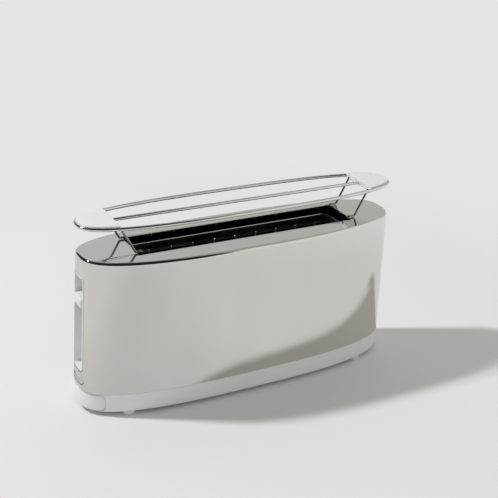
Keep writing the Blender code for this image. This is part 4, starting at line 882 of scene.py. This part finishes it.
def makeScrew(place, sx, sy):
    x, y, low, edge = sx * screws["x"], sy * screws["y"], screws["low"], screws["edge"]
    outline = [(0, screws["crownTop"]), (screws["crown"], low)]
    outline += [(screws["head"] - edge + edge * s, low + edge * (1 - c)) for s, c in quarterTurn(4)]
    outline += [(screws["head"], screws["headTop"]), (screws["shank"], screws["headTop"]),
                (screws["shank"], screws["tip"]), (0, screws["tip"])]
    head = bmesh.new()
    turned(head, outline, (x, y), 32)
    z = screws["crossLow"], screws["crossTop"]
    for wide, deep in (screws["cross"], screws["cross"][::-1]):
        head = carved(head, ("cut", block(about(x, wide / 2), about(y, deep / 2), z)))
    finishPiece(f"base_screw_{place}_head", head, satin, "housing", f"base_screw_{place}", 40)


def makeGland():
    bm = bmesh.new()
    turned(bm, gland["outline"], (0, 0), 40)
    bmesh.ops.transform(bm, matrix=alongY(gland["x"], gland["z"]), verts=bm.verts)
    finishPiece("cord_gland_ring", bm, rubber, "housing", "cord_gland", 40)


for side, sy in (("front", -1), ("back", 1)):
    for end, sx in (("left", -1), ("right", 1)):
        makeFoot(f"{side}_{end}", sx, sy)
        makeScrew(f"{side}_{end}", sx, sy)
makeGland()
print("feet, screws and gland made")


# The bun rack: an oval wire with a rod along its middle and a white grip at each end
rack = {"halfLength": 0.1865, "halfWidth": 0.0345, "z": 0.2115, "rim": 0.0020, "rod": 0.0018, "leg": 0.0012,
        "sides": 320, "grip": 0.0360, "gripSides": 256, "inset": 0.0003, "under": 0.0026, "over": 0.0036,
        "edge": 0.0012, "slope": 0.012, "crown": 0.0008, "faceEdge": 0.0007, "rodIntoGrip": 0.004}

# Each leg: how far out its foot and its top stand, and where its hook goes down
legs = {"left": {"front": (0.1312, 0.1490), "back": (0.1332, 0.1510), "hook": 0.1245},
        "right": {"front": (0.1355, 0.1515), "back": (0.1355, 0.1515), "hook": 0.1268},
        "side": 0.0194, "bend": 0.002, "bendSteps": 10, "overPlate": 0.0003, "hookDown": 0.006,
        "hookUp": 0.0006, "intoGrip": 0.005}


def rimPoints():
    turns = [2 * math.pi * (i + 0.5) / rack["sides"] for i in range(rack["sides"])]
    return [Vector((*ovalPoint(turn, rack["halfLength"], rack["halfWidth"]), rack["z"])) for turn in turns]


def makeGrip(end, sx):
    low, high, edge, sizes = rack["z"] - rack["under"], rack["z"] + rack["over"], rack["edge"], []
    halfX, halfY = rack["halfLength"] - rack["inset"], rack["halfWidth"] - rack["inset"]

    def row(shrink, height):
        sizes.append((halfX - shrink, halfY - shrink, height))

    for s, c in quarterTurn(6):
        row(edge * (1 - s), low + edge * (1 - c))
    for s, c in quarterTurn(8):
        row(edge * (1 - c), high - edge + edge * s)
    for i in range(1, 7):
        share = i / 6
        row(edge + rack["slope"] * share, high + rack["crown"] * (1 - (1 - share) ** 2))
    bm = ovalSolid(sizes, rack["gripSides"])
    face = sx * (rack["halfLength"] - rack["grip"])
    made = bmesh.ops.bisect_plane(bm, geom=bm.verts[:] + bm.edges[:] + bm.faces[:], plane_co=(face, 0, 0),
                                  plane_no=(-sx, 0, 0), clear_outer=True)
    capRing(bm, [g for g in made["geom_cut"] if isinstance(g, bmesh.types.BMEdge)])
    bm.normal_update()
    roundOff(bm, [e for e in bm.edges if all(abs(v.co.x - face) < 1e-6 for v in e.verts)], rack["faceEdge"], 4)
    finishPiece(f"rack_grip_{end}_cap", bm, white, "rack", f"rack_grip_{end}", 40)


def legPoints(end, sx):
    # From the hook in the slot over its end, up into the grip, and back the same way on the other side.
    run, hook, z = body["plate"] + legs["overPlate"] + rack["leg"], legs[end]["hook"], rack["z"]
    corners = []
    for place, sy in (("front", -1), ("back", 1)):
        foot, top = legs[end][place]
        half = [Vector((sx * x, sy * legs["side"], height)) for x, height in (
            (hook, run - legs["hookDown"]), (hook, run + legs["hookUp"]), (foot, run), (top, z),
            (top + legs["intoGrip"], z))]
        corners += half if sy < 0 else half[::-1]
    return bentPath(corners, legs["bend"], legs["bendSteps"])


def makeRack():
    z, reach = rack["z"], rack["halfLength"] - rack["grip"] + rack["rodIntoGrip"]
    rim = tube(rimPoints(), rack["rim"], 20, True)
    rod = tube([Vector((x, 0, z)) for x in (-reach, 0, reach)], rack["rod"], 20)
    finishPiece("rack_rim_wire", rim, wire, "rack", "rack_rim", 60)
    finishPiece("rack_rod_wire", rod, wire, "rack", "rack_rod", 60)
    for end, sx in (("left", -1), ("right", 1)):
        leg = tube(legPoints(end, sx), rack["leg"], 14)
        # The legs' steel is painted dark for the dark reflections it shows.
        finishPiece(f"rack_leg_{end}_wire", leg, legWirePaintedDark, "rack", f"rack_leg_{end}", 60)
        makeGrip(end, sx)


makeRack()
print("rack made")


# The paper on the floor, the room round it, the lamp and the camera
# The paper's mirrored tones and its darker stretch are painted reflection, seen only in the steel.
paper = {"radius": 30, "tones": ((0.795, 0.795, 0.79), (0.805, 0.805, 0.80)), "far": (0.783, 0.783, 0.783),
         "farFrom": 0.36, "farTo": 0.80, "mirrored": ((0.75, 0.75, 0.75), (0.90, 0.90, 0.90)),
         "paintedMirrorAcross": (-0.8, 0.8), "paintedMirrorShade": (0.71, 0.71, 0.71), "paintedMirrorShadeIn": (-0.42, -0.19),
         "paintedMirrorShadeOut": (-0.14, 0.04)}
room = {"seen": (0.783, 0.783, 0.783), "leftLight": (0.355, 0.347, 0.331), "rightLight": (0.675, 0.658, 0.624),
        "front": (0.88, 0.865, 0.83), "back": (0.62, 0.62, 0.625), "backRight": (0.535, 0.53, 0.515),
        "backFrom": (-0.3, 0.2), "rightFrom": (0.25, 0.60), "ceiling": (0.40, 0.39, 0.37),
        "ceilingFrom": (0.66, 0.86), "dark": (0.02, 0.02, 0.02), "darkTowards": (-0.902, -0.312, 0.299),
        "darkFrom": (-0.02, 0.03), "darkAbove": (0.05, 0.13)}
lampSet = {"at": (-1.121, 0.516, 1.474), "aim": (0, 0, 0.1), "size": 0.13, "power": 5.95,
           "colour": (1.0, 1.02, 1.05)}
view = {"at": (-0.4991, -0.8950, 0.6199), "turn": -29.73, "tilt": 24.44, "roll": 3.35, "lens": 73.96,
        "sensor": 36, "farthest": 100}


def makeFloor():
    bm = bmesh.new()
    bmesh.ops.create_circle(bm, cap_ends=True, segments=96, radius=paper["radius"])
    floor = placed("studio_floor", bm)
    finish = newFinish("studio_paper", (0.80, 0.80, 0.795), 1.0)
    dress(finish, "Specular IOR Level", 0)
    tree = finish.node_tree
    rays = added(tree, "LightPath").outputs
    place = added(tree, "TexCoord").outputs["Object"]
    across = added(tree, "SeparateXYZ")
    plug(tree, across, 0, place)
    x = across.outputs["X"]
    # Painted shade that only the steel mirrors: a soft darker stretch of the paper's colour along X, seen by
    # glossy rays alone
    paintedMirrorShade = worked(tree, "MULTIPLY", spread(tree, x, 0, 1, *paper["paintedMirrorShadeIn"]), spread(tree, x, 1, 0, *paper["paintedMirrorShadeOut"]))
    plain = toned(tree, pattern(finish, 3), *paper["tones"])
    paintedMirrorShade = worked(tree, "MULTIPLY", paintedMirrorShade, rays["Is Glossy Ray"])
    dress(finish, "Base Color", mixed(tree, paintedMirrorShade, plain, paper["paintedMirrorShade"]))
    # Far from the object, where a lamp would not reach, the paper glows an even pale for the camera; for the steel
    # it glows a painted reflection, darker to the left and lighter to the right
    mirrored = toned(tree, spread(tree, x, 0, 1, *paper["paintedMirrorAcross"]), *paper["mirrored"], 0, 1)
    far = added(tree, "Emission")
    plug(tree, far, "Color", mixed(tree, rays["Is Camera Ray"], mirrored, paper["far"]))
    seen = worked(tree, "MAXIMUM", rays["Is Camera Ray"], rays["Is Glossy Ray"])
    seen = worked(tree, "MAXIMUM", seen, rays["Is Transmission Ray"])
    reach = added(tree, "VectorMath", operation="LENGTH")
    plug(tree, reach, 0, place)
    away = eased(tree, reach.outputs["Value"], paper["farFrom"], paper["farTo"])
    both = added(tree, "MixShader")
    plug(tree, both, "Fac", worked(tree, "MULTIPLY", seen, away))
    plug(tree, both, 1, tree.nodes["Principled BSDF"].outputs[0])
    plug(tree, both, 2, far.outputs[0])
    plug(tree, tree.nodes["Material Output"], "Surface", both.outputs[0])
    floor.data.materials.append(finish)


def makeWorld():
    # A pale, even room. What the steel mirrors of it is dark above and to the left, as over a lit table.
    world = bpy.data.worlds.new("studio_room")
    bpy.context.scene.world = world
    world.use_nodes = True
    tree = world.node_tree
    rays = added(tree, "LightPath").outputs
    place = added(tree, "TexCoord").outputs["Generated"]
    parts = added(tree, "SeparateXYZ")
    plug(tree, parts, 0, place)
    x, y, z = parts.outputs
    towards = added(tree, "VectorMath", operation="DOT_PRODUCT")
    towards.inputs[1].default_value = room["darkTowards"]
    plug(tree, towards, 0, place)
    darkSide = worked(tree, "MULTIPLY", eased(tree, towards.outputs["Value"], *room["darkFrom"]),
                      eased(tree, z, *room["darkAbove"]))
    back = mixed(tree, eased(tree, x, *room["rightFrom"]), room["back"], room["backRight"])
    mirrored = mixed(tree, eased(tree, y, *room["backFrom"]), room["front"], back)
    mirrored = mixed(tree, eased(tree, z, *room["ceilingFrom"]), mirrored, room["ceiling"])
    mirrored = mixed(tree, darkSide, mirrored, room["dark"])
    light = mixed(tree, eased(tree, x, -1, 1), room["leftLight"], room["rightLight"])
    shown = mixed(tree, rays["Is Glossy Ray"], light, mirrored)
    plug(tree, tree.nodes["Background"], "Color", mixed(tree, rays["Is Camera Ray"], shown, room["seen"]))
    plug(tree, tree.nodes["Background"], "Strength", 1.0)


def makeLamp():
    lamp = bpy.data.lights.new("key_softbox", "AREA")
    lamp.shape, lamp.size, lamp.energy, lamp.color = "DISK", lampSet["size"], lampSet["power"], lampSet["colour"]
    lamp.use_nodes = True  # no weakening with distance, so that the paper stays even
    even = added(lamp.node_tree, "LightFalloff")
    plug(lamp.node_tree, even, "Strength", 1.0)
    plug(lamp.node_tree, lamp.node_tree.nodes["Emission"], "Strength", even.outputs["Constant"])
    made = bpy.data.objects.new("key_softbox", lamp)
    made.location = lampSet["at"]
    made.rotation_euler = (Vector(lampSet["aim"]) - Vector(lampSet["at"])).to_track_quat("-Z", "Y").to_euler()
    bpy.context.scene.collection.objects.link(made)


def makeCamera():
    camera = bpy.data.cameras.new("photo_camera")
    camera.lens, camera.sensor_width, camera.clip_end = view["lens"], view["sensor"], view["farthest"]
    made = bpy.data.objects.new("photo_camera", camera)
    turn = Matrix.Rotation(math.radians(view["turn"]), 4, "Z")
    tilt = Matrix.Rotation(math.radians(90 - view["tilt"]), 4, "X")
    roll = Matrix.Rotation(math.radians(view["roll"]), 4, "Z")
    made.matrix_world = Matrix.Translation(view["at"]) @ turn @ tilt @ roll
    bpy.context.scene.collection.objects.link(made)
    bpy.context.scene.camera = made


makeFloor()
makeWorld()
makeLamp()
makeCamera()
bpy.context.scene.view_settings.view_transform = "Standard"
print("studio made")
